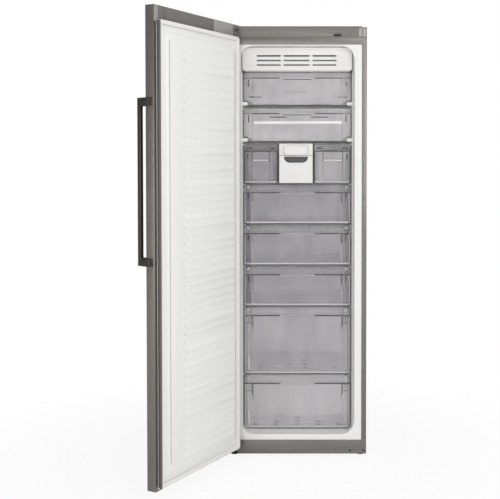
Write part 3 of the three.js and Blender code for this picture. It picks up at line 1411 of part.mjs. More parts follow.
function doorTopCap() {
  const wall = 2.5;
  const foot = PANEL_Z[1] + GAP;
  const bossRight = 38;
  const body = extrude(corePlan(DOOR_BACK), 'z', foot, DOOR_TOP, 3);
  const hollow = box(
    [bossRight, DOOR_RIGHT - STEEL - GAP - wall - 4],
    [DOOR_FACE + STEEL + GAP + wall, DOOR_BACK - wall],
    [foot - 1, DOOR_TOP - wall],
  );
  const ribX = (bossRight + DOOR_RIGHT) / 2;
  const rib = box([ribX, ribX + 2], [DOOR_FACE + 3, DOOR_BACK - 1], [foot + 10, DOOR_TOP - 1]);
  const [slotFoot, slotHead] = hingeSlot();
  const slotY = [DOOR_FACE + HINGE_SLOT_WALL, DOOR_BACK + 1];
  const grooveDepth = 0.8;
  const groove = (x) => box([x, x + 1], [DOOR_BACK - grooveDepth, DOOR_BACK + 1], [foot - 1, DOOR_TOP + 1]);
  return cut(
    join(cut(body, hollow), rib),
    box([DOOR_LEFT - 1, HINGE_EYE + 1.5], slotY, [slotFoot, slotHead]),
    rod('z', HINGE_PIN + 0.4, foot - 1, DOOR_TOP - 4, [0, 0]),
    groove(DOOR_RIGHT - 62),
    groove(bossRight + 120),
  );
}

function doorBottomCap() {
  const head = PANEL_Z[0];
  const bossHead = DOOR_FOOT + 29;
  const boss = box([DOOR_LEFT + STEEL + GAP, 12], [DOOR_FACE + 8, DOOR_BACK - PANEL_SHEET - GAP],
    [DOOR_FOOT + 1, bossHead]);
  return cut(
    join(extrude(corePlan(DOOR_BACK), 'z', DOOR_FOOT, head, 3), boss),
    rod('z', HINGE_PIN + 0.4, DOOR_FOOT - 1, bossHead - 2, [0, 0]),
  );
}

// Raised field of the inner panel, grown outwards by grow.
function panelField(grow, front, back) {
  const slope = 5;
  const x = [PANEL_X[0] + FIELD_HINGE_MARGIN, PANEL_X[1] - FIELD_LATCH_MARGIN];
  const z = [PANEL_Z[0] + FIELD_END_MARGIN, PANEL_Z[1] - FIELD_END_MARGIN];
  const ring = (inset, y) => loftRing([x[0] + inset - grow, x[1] - inset + grow],
    [z[0] + inset - grow, z[1] - inset + grow], 18 + grow - inset, -y, 3);
  return loft([ring(slope, back), ring(0, front)], 'y');
}

// Low ribs across the field of the panel.
function panelRibs(base) {
  const field = [PANEL_Z[0] + FIELD_END_MARGIN + 20, PANEL_Z[1] - FIELD_END_MARGIN - 20];
  const count = Math.floor((field[1] - field[0]) / RIB_PITCH);
  const first = (field[0] + field[1] - (count - 1) * RIB_PITCH) / 2;
  const section = new THREE.Shape();
  section.moveTo(base - 1, field[0] - 4);
  section.lineTo(base - 1, field[1] + 4);
  section.lineTo(base - 0.5, field[1] + 4);
  for (let i = count - 1; i >= 0; i -= 1) {
    const z = first + i * RIB_PITCH;
    section.lineTo(base - 0.5, z + RIB_WIDTH / 2);
    section.lineTo(base + RIB_RISE, z);
    section.lineTo(base - 0.5, z - RIB_WIDTH / 2);
  }
  section.lineTo(base - 0.5, field[0] - 4);
  return extrude(section, 'x', PANEL_X[0] + FIELD_HINGE_MARGIN + 10, PANEL_X[1] - RIB_START);
}

function doorPanel() {
  const back = DOOR_BACK + FIELD_RISE;
  const sheet = box(PANEL_X, [DOOR_BACK - PANEL_SHEET, DOOR_BACK], [PANEL_Z[0] + GAP, PANEL_Z[1] - GAP]);
  const raised = join(sheet, panelField(0, DOOR_BACK - 1, back));
  const hollow = panelField(-PANEL_SHEET, DOOR_BACK - PANEL_SHEET - 1, back - PANEL_SHEET);
  return join(cut(raised, hollow), panelRibs(back));
}

function doorFoam() {
  const back = DOOR_BACK - PANEL_SHEET - GAP;
  const block = extrude(corePlan(back), 'z', PANEL_Z[0] + GAP, PANEL_Z[1] - 1, 3);
  const raised = panelField(-PANEL_SHEET - 1, back - 1, DOOR_BACK + FIELD_RISE - PANEL_SHEET - GAP);
  const bossRoom = box([DOOR_LEFT, 13], [DOOR_FACE, DOOR_BACK], [DOOR_FOOT, DOOR_FOOT + 30]);
  return cut(join(block, raised), bossRoom);
}

// Soft seal: a base strip, a narrow neck and a wider magnetic lip, all round the panel.
function doorGasket() {
  const margin = 1;
  const back = HINGE_FORWARD - GASKET_CLEARANCE;
  const band = (outer, inner, y0, y1) => {
    const ring = (inset, radius) => roundedRect(
      [PANEL_X[0] + inset, PANEL_X[1] - inset],
      [PANEL_Z[0] + GAP + inset, PANEL_Z[1] - GAP - inset],
      radius,
    );
    return cut(
      extrude(ring(outer, 10), 'y', y0, y1, 1),
      extrude(ring(inner, 6), 'y', y0 - 1, y1 + 1, 1),
    );
  };
  const base = DOOR_BACK + GAP;
  return join(
    band(margin, margin + GASKET_WIDTH, base, base + 2.5),
    band(margin + 5, margin + GASKET_WIDTH - 4, base + 2, back - 4),
    band(margin + 1, margin + GASKET_WIDTH - 1, back - 5, back),
  );
}

function handleBar() {
  const x1 = DOOR_RIGHT - HANDLE_INSET;
  const y1 = DOOR_FACE - HANDLE_STANDOFF;
  const plan = roundedRect([x1 - HANDLE_WIDTH, x1], [y1 - HANDLE_THICKNESS, y1], 6, 3);
  return extrude(plan, 'z', HANDLE_FOOT, HANDLE_FOOT + HANDLE_LENGTH);
}

// Bracket from the bar, round the corner of the door to its latch edge.
function handleBracket(foot) {
  const barX = DOOR_RIGHT - HANDLE_INSET;
  const barY = DOOR_FACE - HANDLE_STANDOFF + GAP;
  const plateOut = DOOR_RIGHT + GAP + BRACKET_PLATE;
  const plateIn = DOOR_RIGHT + GAP;
  const plateEnd = DOOR_BACK - 8;
  const shape = new THREE.Shape();
  shape.moveTo(barX - HANDLE_WIDTH + 1, barY);
  shape.lineTo(barX - 1, barY);
  shape.quadraticCurveTo(plateOut, barY + 6, plateOut, DOOR_FACE + 4);
  shape.lineTo(plateOut, plateEnd);
  shape.lineTo(plateIn, plateEnd);
  shape.lineTo(plateIn, DOOR_FACE + DOOR_CORNER);
  shape.quadraticCurveTo(plateIn, DOOR_FACE - GAP, DOOR_RIGHT - DOOR_CORNER, DOOR_FACE - GAP);
  shape.lineTo(barX - HANDLE_WIDTH + 8, DOOR_FACE - GAP);
  shape.quadraticCurveTo(barX - HANDLE_WIDTH + 1, DOOR_FACE - 6, barX - HANDLE_WIDTH + 1, barY + 8);
  const screwAt = [DOOR_BACK - 20, foot + BRACKET_HEIGHT / 2];
  const screwSeat = rod('x', 4, plateOut - 1.5, plateOut + 1, screwAt);
  return cut(extrude(shape, 'z', foot, foot + BRACKET_HEIGHT, 3), screwSeat);
}

// ---------------------------------------------------------------- assembly

function door() {
  const group = new THREE.Group();
  group.add(
    part('door_skin', doorSkin(), brushedSteel()),
    part('door_panel', doorPanel(), whitePlastic()),
    part('door_foam', doorFoam(), foam()),
    part('door_gasket', doorGasket(), softWhite()),
    part('door_top_cap', doorTopCap(), greyPlastic()),
    part('door_bottom_cap', doorBottomCap(), greyPlastic()),
    part('handle_bar', handleBar(), charcoal()),
    part('handle_bracket_upper', handleBracket(HANDLE_FOOT + HANDLE_LENGTH - BRACKET_HEIGHT), charcoal()),
    part('handle_bracket_lower', handleBracket(HANDLE_FOOT), charcoal()),
  );
  group.position.set(HINGE_X, HINGE_Y, 0);
  group.rotation.z = THREE.MathUtils.degToRad(-OPEN_ANGLE);
  return group;
}

function cabinet() {
  const group = new THREE.Group();
  group.add(
    part('outer_shell', outerShell(), brushedSteel()),
    part('back_panel', backPanel(), galvanised()),
    part('bottom_panel', bottomPanel(), galvanised()),
    part('base_frame', baseFrame(), galvanised()),
    part('liner', liner(), whitePlastic()),
    part('cabinet_foam', cabinetFoam(), foam()),
    part('top_cover', topCover(), greyPlastic()),
    part('plinth', plinth(), greyPlastic()),
    part('upper_hinge', upperHinge(), galvanised()),
    part('lower_hinge', lowerHinge(), blackPaint()),
    part('evaporator_cover', evaporatorCover(), whitePlastic()),
    part('evaporator_tray', evaporatorTray(), dullWhite()),
    part('evaporator_coil', join(evaporatorCoil(), evaporatorHangers()), bareAluminium()),
    part('fan_shroud', fanShroud(), dullWhite()),
    part('air_duct', airDuct(), dullWhite()),
    part('ice_maker_housing', iceMakerHousing(), whitePlastic()),
    part('compressor', compressor(), blackPaint()),
    part('drip_tray', dripTray(), blackPlastic()),
    part('refrigerant_pipes', refrigerantPipes(), copper()),
    part('machine_cover', machineCover(), galvanised()),
    part('mains_inlet', mainsInlet(), blackPlastic()),
    part('door_switch', doorSwitch(), blackPlastic()),
  );
  SHELF_LEVELS.forEach((level, i) => {
    group.add(part(`shelf_${SHELF_LEVELS.length - i}`, shelf(level), shelfGlass()));
  });
  return group;
}

function movingPieces() {
  const group = new THREE.Group();
  group.add(
    part('flap_upper', flap(6), clearPlastic()),
    part('flap_lower', flap(5), clearPlastic()),
    part('small_drawer_left', smallDrawer([-FRONT_HALF + 2, ICE_LEFT - ICE_SIDE_GAP]), clearPlastic()),
    part('small_drawer_right', smallDrawer([ICE_RIGHT + ICE_SIDE_GAP, FRONT_HALF - 2]), clearPlastic()),
    part('ice_bin', iceBin(), whitePlastic()),
    part('twist_lever', twistLever(), whitePlastic()),
    part('ice_tray', iceTray(), dullWhite()),
    part('fan_impeller', fanImpeller(), blackPlastic()),
    part('rear_roller_left', rearRoller(-1), blackPlastic()),
    part('rear_roller_right', rearRoller(1), blackPlastic()),
    part('levelling_foot_left', levellingFoot(-1), blackPlastic()),
    part('levelling_foot_right', levellingFoot(1), blackPlastic()),
  );
  DRAWERS.forEach((drawer) => {
    group.add(
      part(`${drawer.name}_front`, drawerFront(drawer), clearPlastic()),
      part(`${drawer.name}_tub`, drawerTub(drawer), clearPlastic()),
    );
  });
  return group;
}

// The origin lies on the floor under the middle of the freezer as it stands, door open.
function centred(group) {
  group.updateMatrixWorld(true);
  const bounds = new THREE.Box3().setFromObject(group, true);
  const middle = bounds.getCenter(new THREE.Vector3());
  group.position.set(-middle.x, -middle.y, -bounds.min.z);
  return group;
}

const freezer = new THREE.Group();
freezer.add(cabinet(), door(), movingPieces());

export default centred(freezer);
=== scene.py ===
"""Looks of an upright freezer that stands open: sheets, mouldings, clear drawers and finishes.

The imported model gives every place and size. Lengths in the classes below are in
millimetres, measured from the middle of the cabinet's front edge on the floor.
"""

import json
import logging
import math
from dataclasses import dataclass
from enum import Enum
from typing import Iterable, Optional, Sequence

import bmesh
import bpy
from mathutils import Matrix, Vector

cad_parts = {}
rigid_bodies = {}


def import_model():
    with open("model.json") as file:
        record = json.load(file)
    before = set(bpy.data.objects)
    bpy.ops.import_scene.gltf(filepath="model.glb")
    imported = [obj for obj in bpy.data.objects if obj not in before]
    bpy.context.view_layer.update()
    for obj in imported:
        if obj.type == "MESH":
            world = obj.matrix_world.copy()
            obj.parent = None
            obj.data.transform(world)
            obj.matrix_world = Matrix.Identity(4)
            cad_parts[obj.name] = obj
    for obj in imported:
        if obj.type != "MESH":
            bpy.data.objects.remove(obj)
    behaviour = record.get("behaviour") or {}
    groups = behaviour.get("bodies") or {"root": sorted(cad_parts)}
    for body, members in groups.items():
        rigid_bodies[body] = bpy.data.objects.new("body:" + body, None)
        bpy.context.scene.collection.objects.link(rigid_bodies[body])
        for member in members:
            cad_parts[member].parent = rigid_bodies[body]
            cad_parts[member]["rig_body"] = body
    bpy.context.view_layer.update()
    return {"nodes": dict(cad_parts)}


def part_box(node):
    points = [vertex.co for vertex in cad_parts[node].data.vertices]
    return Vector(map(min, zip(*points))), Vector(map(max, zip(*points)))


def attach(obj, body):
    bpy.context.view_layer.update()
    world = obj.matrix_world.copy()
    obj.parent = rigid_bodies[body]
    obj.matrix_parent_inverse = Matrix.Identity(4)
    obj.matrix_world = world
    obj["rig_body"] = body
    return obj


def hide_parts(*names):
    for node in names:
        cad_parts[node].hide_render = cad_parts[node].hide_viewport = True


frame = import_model()
LOG = logging.getLogger("freezer")

Colour = tuple[float, float, float]
Triple = tuple[float, float, float]
Span = tuple[float, float]
Socket = bpy.types.NodeSocket
Node = bpy.types.Node
Piece = bpy.types.Object
Shape = bmesh.types.BMesh

SHELL_LOW, SHELL_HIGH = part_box("outer_shell")
ORIGIN = Vector(((SHELL_LOW.x + SHELL_HIGH.x) / 2, SHELL_LOW.y, 0.0))
WHITE_LIGHT = (1.0, 1.0, 1.0, 1.0)
DUST_COLOUR = (0.55, 0.53, 0.5)
DUST_TILT = (0.6, 1.0)


def place(x: float, y: float, z: float) -> Vector:
    """Turns millimetres to the right, behind the cabinet's front and up into a point of the scene."""
    return ORIGIN + Vector((x, y, z)) / 1000


def tone(red: int, green: int, blue: int) -> Colour:
    """Turns a display colour of 0 to 255 into a linear one."""

    def linear(value: int) -> float:
        """Removes the display curve from one channel."""
        share = value / 255
        return share / 12.92 if share <= 0.04045 else ((share + 0.055) / 1.055) ** 2.4

    return (linear(red), linear(green), linear(blue))


def scaled(colour: Colour, factor: float) -> Colour:
    """Darkens or brightens a colour, to white at most."""
    return tuple(min(1.0, channel * factor) for channel in colour)


def even(rate: float) -> Triple:
    """Gives the same number of marks per metre along every axis."""
    return (rate, rate, rate)


# Node helpers


class Nodes:
    """Adds and joins shader nodes in one tree."""

    def __init__(self, tree: bpy.types.NodeTree) -> None:
        """Keeps the node tree that is filled."""
        self.tree = tree

    def add(self, kind: str, settings: Optional[dict] = None, **inputs: object) -> Node:
        """Adds one node.

        Args:
            kind: Blender's name of the node type.
            settings: Attributes set on the node.
            **inputs: Socket values or output sockets, by socket name with _ for a space.

        Returns:
            The new node.
        """
        node = self.tree.nodes.new(kind)
        for name, value in (settings or {}).items():
            setattr(node, name, value)
        for name, value in inputs.items():
            self.feed(node, name.replace("_", " "), value)
        return node

    def feed(self, node: Node, socket: object, value: object) -> None:
        """Links an output socket to an input, given by name or number, or sets it to a plain value."""
        if isinstance(value, Socket):
            self.tree.links.new(value, node.inputs[socket])
        else:
            node.inputs[socket].default_value = value

    def math(self, operation: str, a: object, b: object = 0.0, clamp: bool = False) -> Socket:
        """Adds a Math node and gives its output."""
        node = self.add("ShaderNodeMath", {"operation": operation, "use_clamp": clamp})
        self.feed(node, 0, a)
        self.feed(node, 1, b)
        return node.outputs[0]

    def spread(self, value: Socket, low: object, high: object) -> Socket:
        """Maps a mask of 0 to 1 onto low to high."""
        return self.add("ShaderNodeMapRange", None, Value=value, To_Min=low, To_Max=high).outputs[0]

    def smooth(self, value: Socket, low: object, high: object, first: float = 0.0,
               last: float = 1.0) -> Socket:
        """Ramps softly from first to last while the value goes from low to high."""
        ramp = self.add("ShaderNodeMapRange", {"interpolation_type": "SMOOTHSTEP"}, Value=value,
                        From_Min=low, From_Max=high, To_Min=first, To_Max=last)
        return ramp.outputs[0]

    def mix(self, mask: object, first: object, second: object) -> Socket:
        """Mixes two colours or colour sockets by the mask."""
        node = self.add("ShaderNodeMix", {"data_type": "RGBA"})
        self.feed(node, 0, mask)
        for index, value in ((6, first), (7, second)):
            self.feed(node, index, value if isinstance(value, Socket) else (*value, 1.0))
        return node.outputs[2]

    def where(self) -> Socket:
        """Gives the Object coordinates."""
        return self.add("ShaderNodeTexCoord").outputs["Object"]

    def group(self, tree: bpy.types.NodeTree, **inputs: object) -> Socket:
        """Adds a shared effect and gives its mask."""
        return self.add("ShaderNodeGroup", {"node_tree": tree}, **inputs).outputs[0]


def new_group(name: str, inputs: Sequence[tuple[str, float]]) -> tuple[Nodes, Sequence[Socket], object]:
    """Starts a node group and gives its nodes, the sockets of its number inputs and its output."""
    tree = bpy.data.node_groups.new(name, "ShaderNodeTree")
    for label, value in inputs:
        socket = tree.interface.new_socket(label, in_out="INPUT", socket_type="NodeSocketFloat")
        socket.default_value = value
    tree.interface.new_socket("Mask", in_out="OUTPUT", socket_type="NodeSocketFloat")
    nodes = Nodes(tree)
    return nodes, nodes.add("NodeGroupInput").outputs, nodes.add("NodeGroupOutput")


def make_grain() -> bpy.types.NodeTree:
    """Builds the group for fine streaks or specks, given as marks per metre along each axis."""
    labels = (("Along X", 900.0), ("Along Y", 900.0), ("Along Z", 900.0), ("Detail", 3.0), ("Contrast", 1.0))
    nodes, given, result = new_group("grain", labels)
    rate = nodes.add("ShaderNodeCombineXYZ", None, X=given[0], Y=given[1], Z=given[2])
    stretched = nodes.add("ShaderNodeVectorMath", {"operation": "MULTIPLY"})
    nodes.feed(stretched, 0, nodes.where())
    nodes.feed(stretched, 1, rate.outputs[0])
    noise = nodes.add("ShaderNodeTexNoise", None, Vector=stretched.outputs[0], Scale=1.0, Detail=given[3])
    centred = nodes.math("SUBTRACT", noise.outputs[0], 0.5)
    wide = nodes.math("MULTIPLY", centred, nodes.math("MULTIPLY", given[4], 2.0))
    nodes.feed(result, 0, nodes.math("ADD", wide, 0.5, clamp=True))
    return nodes.tree


def make_mottle() -> bpy.types.NodeTree:
    """Builds the group for broad, soft handling marks; its Mask is 0 on most of the surface."""
    nodes, given, result = new_group("mottle", (("Patches", 6.0), ("Cover", 0.5), ("Softness", 0.25)))
    noise = nodes.add("ShaderNodeTexNoise", None, Vector=nodes.where(), Scale=given[0], Detail=4.0,
                      Roughness=0.6)
    low = nodes.math("SUBTRACT", 1.0, given[1])
    nodes.feed(result, 0, nodes.smooth(noise.outputs[0], low, nodes.math("ADD", low, given[2])))
    return nodes.tree


def make_dust() -> bpy.types.NodeTree:
    """Builds the group for dust on upward faces; its Mask is the share that dust covers."""
    nodes, given, result = new_group("settled dust", (("Amount", 0.3), ("Specks", 60.0)))
    normal = nodes.add("ShaderNodeNewGeometry").outputs["Normal"]
    up = nodes.add("ShaderNodeSeparateXYZ", None, Vector=normal)
    noise = nodes.add("ShaderNodeTexNoise", None, Vector=nodes.where(), Scale=given[1], Detail=5.0)
    broken = nodes.math("MULTIPLY", nodes.smooth(up.outputs[2], *DUST_TILT), noise.outputs[0])
    nodes.feed(result, 0, nodes.math("MULTIPLY", broken, given[0], clamp=True))
    return nodes.tree


GRAIN = make_grain()
MOTTLE = make_mottle()
DUST = make_dust()


def new_material(name: str) -> tuple[bpy.types.Material, Nodes, Node]:
    """Starts a material and gives it with its nodes and its Principled shader."""
    material = bpy.data.materials.new(name)
    material.use_nodes = True
    return material, Nodes(material.node_tree), material.node_tree.nodes["Principled BSDF"]


# Finishes


@dataclass(frozen=True)
class Finish:
    """One finish: colour, gloss and the fine structure of its surface."""

    name: str
    slot: str
    colour: Colour
    roughness: float
    metallic: float = 0.0
    rate: Triple = even(700.0)
    detail: float = 3.0
    contrast: float = 1.0
    depth: float = 0.00002
    relief: float = 0.6
    tint: float = 0.05
    gloss: float = 0.05
    patches: float = 5.0
    soil: Colour = (0.2, 0.19, 0.17)
    marks: float = 0.06
    dust: float = 0.0

    def surface(self, nodes: Nodes, shader: Node) -> None:
        """Feeds colour, roughness and relief to the material's Principled shader."""
        x, y, z = self.rate
        grain = nodes.group(GRAIN, Along_X=x, Along_Y=y, Along_Z=z, Detail=self.detail,
                            Contrast=self.contrast)
        mottle = nodes.math("MULTIPLY", nodes.group(MOTTLE, Patches=self.patches), self.marks)
        base = nodes.mix(grain, scaled(self.colour, 1 - self.tint), scaled(self.colour, 1 + self.tint))
        base = nodes.mix(mottle, base, self.soil)
        if self.dust:
            base = nodes.mix(nodes.group(DUST, Amount=self.dust), base, DUST_COLOUR)
        smoothest, dullest = max(0.02, self.roughness - self.gloss), min(1.0, self.roughness + self.gloss)
        rough = nodes.math("ADD", nodes.spread(grain, smoothest, dullest), mottle, clamp=True)
        bump = nodes.add("ShaderNodeBump", None, Strength=self.relief, Distance=self.depth, Height=grain)
        nodes.feed(shader, "Base Color", base)
        nodes.feed(shader, "Roughness", rough)
        nodes.feed(shader, "Normal", bump.outputs[0])

    def build(self) -> bpy.types.Material:
        """Makes the material."""
        material, nodes, shader = new_material(self.name)
        shader.inputs["Metallic"].default_value = self.metallic
        self.surface(nodes, shader)
        self.adjust(nodes, shader)
        return material

    def adjust(self, nodes: Nodes, shader: Node) -> None:
        """Leaves the shader's other sockets as they are."""


@dataclass(frozen=True)
class Brushed(Finish):
    """Brushed sheet with a slightly stretched highlight."""

    stretch: float = 0.35

    def adjust(self, nodes: Nodes, shader: Node) -> None:
        """Stretches the highlight across the brushing."""
        shader.inputs["Anisotropic"].default_value = self.stretch


@dataclass(frozen=True)
class Clear(Finish):
    """See-through moulding or pane, a little uneven as moulded plastic is."""

    rate: Triple = even(260.0)
    depth: float = 0.000008
    tint: float = 0.02
    marks: float = 0.02
    alpha: float = 0.35
    streaks: float = 0.04
    flow: Triple = (14.0, 14.0, 5.0)
    flow_contrast: float = 1.4
    coat: float = 0.6
    coat_roughness: float = 0.05

    def adjust(self, nodes: Nodes, shader: Node) -> None:
        """Lets light through, unevenly, under a glossy skin."""
        x, y, z = self.flow
        flow = nodes.group(GRAIN, Along_X=x, Along_Y=y, Along_Z=z, Detail=2.0, Contrast=self.flow_contrast)
        nodes.feed(shader, "Alpha", nodes.spread(flow, self.alpha - self.streaks, self.alpha + self.streaks))
        shader.inputs["Coat Weight"].default_value = self.coat
        shader.inputs["Coat Roughness"].default_value = self.coat_roughness


@dataclass(frozen=True)
class Spangled(Finish):
    """Zinc-coated sheet with its crystal pattern."""

    crystals: float = 70.0
    darkest: float = 0.86
    lightest: float = 1.1
    glossier: float = 0.08
    duller: float = 0.1

    def adjust(self, nodes: Nodes, shader: Node) -> None:
        """Lays crystals of slightly different grey over the sheet."""
        cells = nodes.add("ShaderNodeTexVoronoi", None, Vector=nodes.where(), Scale=self.crystals)
        grey = nodes.add("ShaderNodeSeparateColor", None, Color=cells.outputs["Color"]).outputs[0]
        colours = nodes.mix(grey, scaled(self.colour, self.darkest), scaled(self.colour, self.lightest))
        nodes.feed(shader, "Base Color", colours)
        rough = nodes.spread(grey, self.roughness - self.glossier, self.roughness + self.duller)
        nodes.feed(shader, "Roughness", rough)


STEEL = Brushed("brushed steel", "brushed_steel", tone(136, 132, 128), 0.36, 0.85,
                rate=(1500.0, 1500.0, 45.0), contrast=1.6, depth=0.00001, tint=0.14, gloss=0.1, marks=0.05,
                dust=0.2)
ZINC = Spangled("galvanised sheet", "galvanised_steel", tone(168, 171, 172), 0.42, 0.85, marks=0.1, dust=0.3)
ZINC_DARK = Finish("zinc screw", "galvanised_steel", tone(120, 121, 120), 0.38, 0.9, rate=even(1200.0),
                   tint=0.12, gloss=0.08, marks=0.1)
CHARCOAL = Brushed("charcoal bar", "charcoal_metal", tone(74, 70, 70), 0.38, 0.7,
                   rate=(1300.0, 1300.0, 40.0), contrast=1.5, depth=0.00001, tint=0.12, gloss=0.08)
BLACK_PAINT = Finish("black enamel", "black_paint", tone(34, 34, 35), 0.3, rate=even(500.0), depth=0.00004,
                     tint=0.1, gloss=0.08, marks=0.1, dust=0.3)
COPPER = Brushed("drawn copper", "copper", tone(196, 122, 90), 0.3, 1.0, rate=even(900.0), tint=0.12,
                 gloss=0.1, marks=0.25, soil=(0.1, 0.05, 0.03))
ALUMINIUM = Brushed("mill aluminium", "aluminium", tone(196, 198, 199), 0.36, 1.0,
                    rate=(1200.0, 80.0, 1200.0), tint=0.08, gloss=0.1)
GREY = Finish("grey moulding", "grey_plastic", tone(124, 121, 117), 0.42, 0.35, rate=(60.0, 1400.0, 1400.0),
              contrast=1.5, tint=0.08, gloss=0.06, marks=0.04, dust=0.3)
# Painted highlight: a lighter copy of the grey moulding where light falls on the door's top cap and the top
# cover.
GREY_HIGHLIGHT = Finish("painted highlight on grey moulding", "grey_plastic", tone(168, 163, 160), 0.4, 0.35,
                  rate=(60.0, 1400.0, 1400.0), contrast=1.5, tint=0.07, gloss=0.06, marks=0.04)
# Painted shade: a grey plate set in the ice bin's scoop, where only shade is.
SHADOW_GREY = Finish("painted shade in the ice scoop", "grey_plastic", tone(82, 82, 86), 0.55, rate=even(900.0), depth=0.00003,
                     gloss=0.06, marks=0.04)
BLACK_PLASTIC = Finish("black moulding", "black_plastic", tone(42, 42, 43), 0.55, rate=even(1500.0),
                       contrast=1.4, depth=0.00005, tint=0.12, gloss=0.06, marks=0.08, dust=0.2)
WHITE = Finish("white moulding", "white_plastic", tone(238, 238, 236), 0.33, rate=even(420.0),
               depth=0.000015, tint=0.008, marks=0.02)
SATIN = Finish("satin white moulding", "white_plastic", tone(229, 228, 227), 0.36, rate=even(420.0),
               depth=0.000015, tint=0.01, marks=0.02)
PANEL = Finish("white door panel", "white_plastic", tone(244, 244, 242), 0.38, rate=even(420.0),
               depth=0.000015, tint=0.006, marks=0.015)
# Painted shade: grey spots at the door panel's rib ends and grey lines beside its raised field.
RIB_END_SHADE = Finish("painted shade at a rib end", "white_plastic", tone(219, 217, 216), 0.6, rate=even(420.0), depth=0.000015,
                tint=0.02, marks=0.02)
PANEL_SHADE_LINE = Finish("painted shade line", "white_plastic", tone(196, 193, 192), 0.6, rate=even(420.0), depth=0.000015,
                tint=0.02, marks=0.02)
DULL = Finish("dull white moulding", "dull_white_plastic", tone(226, 225, 222), 0.55, rate=even(900.0),
              depth=0.00003, tint=0.02, gloss=0.06, marks=0.04)
# Painted shade: a darker copy of the dull white moulding for the vanes seen in the air slots.
LOUVRE_SHADE = Finish("shaded louvre", "dull_white_plastic", tone(132, 129, 126), 0.6, rate=even(900.0),
                depth=0.00003, tint=0.03, marks=0.04)
SEAL = Finish("soft seal", "gasket", tone(240, 239, 237), 0.62, rate=even(900.0), depth=0.00003, tint=0.02,
              gloss=0.06)
# Painted shade: dark grey for the seal's shaded latch side and ends, and for the shade in the cap's seam and
# under the cap.
PAINTED_SHADE_GREY = Finish("painted shade on seal and cap", "gasket", tone(104, 100, 97), 0.6, rate=even(900.0),
                   depth=0.00003, tint=0.04, gloss=0.06)
FOAM = Finish("rigid foam", "insulating_foam", tone(224, 204, 150), 0.95, rate=even(400.0), detail=5.0,
              contrast=1.8, depth=0.0006, tint=0.16, gloss=0.03, marks=0.15)
GLASS = Clear("shelf glass", "shelf_glass", tone(196, 206, 203), 0.05, rate=even(40.0), depth=0.000003,
              gloss=0.02, marks=0.01, alpha=0.22)
CLEAR = Clear("clear moulding", "clear_plastic", tone(218, 214, 220), 0.16, alpha=0.17)
# Painted light: lighter and denser copies of the clear moulding stand for the stronger light on the flaps,
# the lower drawers and the right small drawer.
CLEAR_PAINTED_LIGHT = Clear("clear moulding painted lighter", "clear_plastic", tone(236, 233, 236), 0.2, alpha=0.19, streaks=0.03)
CLEAR_PAINTED_LIGHTER = Clear("denser clear moulding painted lighter", "clear_plastic", tone(236, 233, 236), 0.18, alpha=0.36,
                    streaks=0.05)
CLEAR_TUB = Clear("clear tub", "clear_plastic", tone(222, 220, 224), 0.2, alpha=0.08, streaks=0.02)
CLEAR_PAINTED_LIGHTEST = Clear("nearly opaque clear tub painted lightest", "clear_plastic", tone(244, 242, 243), 0.2, alpha=0.6, streaks=0.05)
CLEAR_BRIGHT = Clear("bright bar of the moulding", "clear_plastic", tone(242, 240, 240), 0.14, alpha=0.88)
# Painted shade: dark lines along the clear mouldings' edges and in the gaps beside them.
CLEAR_EDGE_SHADE = Clear("painted shade along the moulding's edges", "clear_plastic", tone(64, 60, 62), 0.22, tint=0.03, alpha=0.78)
# Painted highlight: the bright band along a clear moulding's bent foot, beside its right rim and on its left
# stud.
CLEAR_HIGHLIGHT = Clear("painted highlight on the moulding", "clear_plastic", tone(208, 205, 208), 0.14, alpha=0.74)
# Painted shade: dark marks for slots and catches seen in the clear mouldings, and for the rims round the
# tall tubs' drain slots.
CLEAR_SLOT_SHADE = Clear("shaded slot of the moulding", "clear_plastic", tone(58, 50, 68), 0.3, tint=0.03,
                   alpha=0.8)
# Faint painted highlight: pale lines on the clear mouldings, including the rims round the low tubs' drain
# slots.
CLEAR_FAINT_HIGHLIGHT = Clear("faint painted highlight on the moulding", "clear_plastic", tone(232, 230, 232), 0.2, alpha=0.42)
CLEAR_SHADE = Clear("shaded wall of the moulding", "clear_plastic", tone(118, 112, 124), 0.24, tint=0.03,
                    alpha=0.22)

_built: dict[str, bpy.types.Material] = {}


def dress(piece: Piece, *finishes: Finish) -> None:
    """Gives a piece its materials.

    Args:
        piece: The piece or carried-over node.
        *finishes: Its finishes, in the order of its faces' material numbers.
    """
    if piece.data.materials:
        piece.data.materials.clear()
    for finish in finishes:
        if finish.name not in _built:
            _built[finish.name] = finish.build()
        piece.data.materials.append(_built[finish.name])


# Shapes and pieces


class Band(Enum):
    """Where a face of a clear moulding lies, which settles the light or shade painted on it: its dark bands
    are painted shade, and its pale lines along feet, rims and studs are painted highlights.
    """

    FACE = 0
    EDGE_SHADE = 1
    HIGHLIGHT = 2
    SLOT_SHADE = 3
    FAINT_HIGHLIGHT = 4
    SHADE = 5
    BRIGHT = 6
    OPEN = 7


CREASE = 30.0
HARD = 32.0
BAND_FINISHES = (CLEAR_EDGE_SHADE, CLEAR_HIGHLIGHT, CLEAR_SLOT_SHADE, CLEAR_FAINT_HIGHLIGHT, CLEAR_SHADE, CLEAR_BRIGHT, CLEAR_TUB)
Marks = tuple[tuple[float, float, float, float, Band], ...]


def body_of(node: str) -> str:
    """Names the body that a node belongs to."""
    return frame["nodes"][node]["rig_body"]


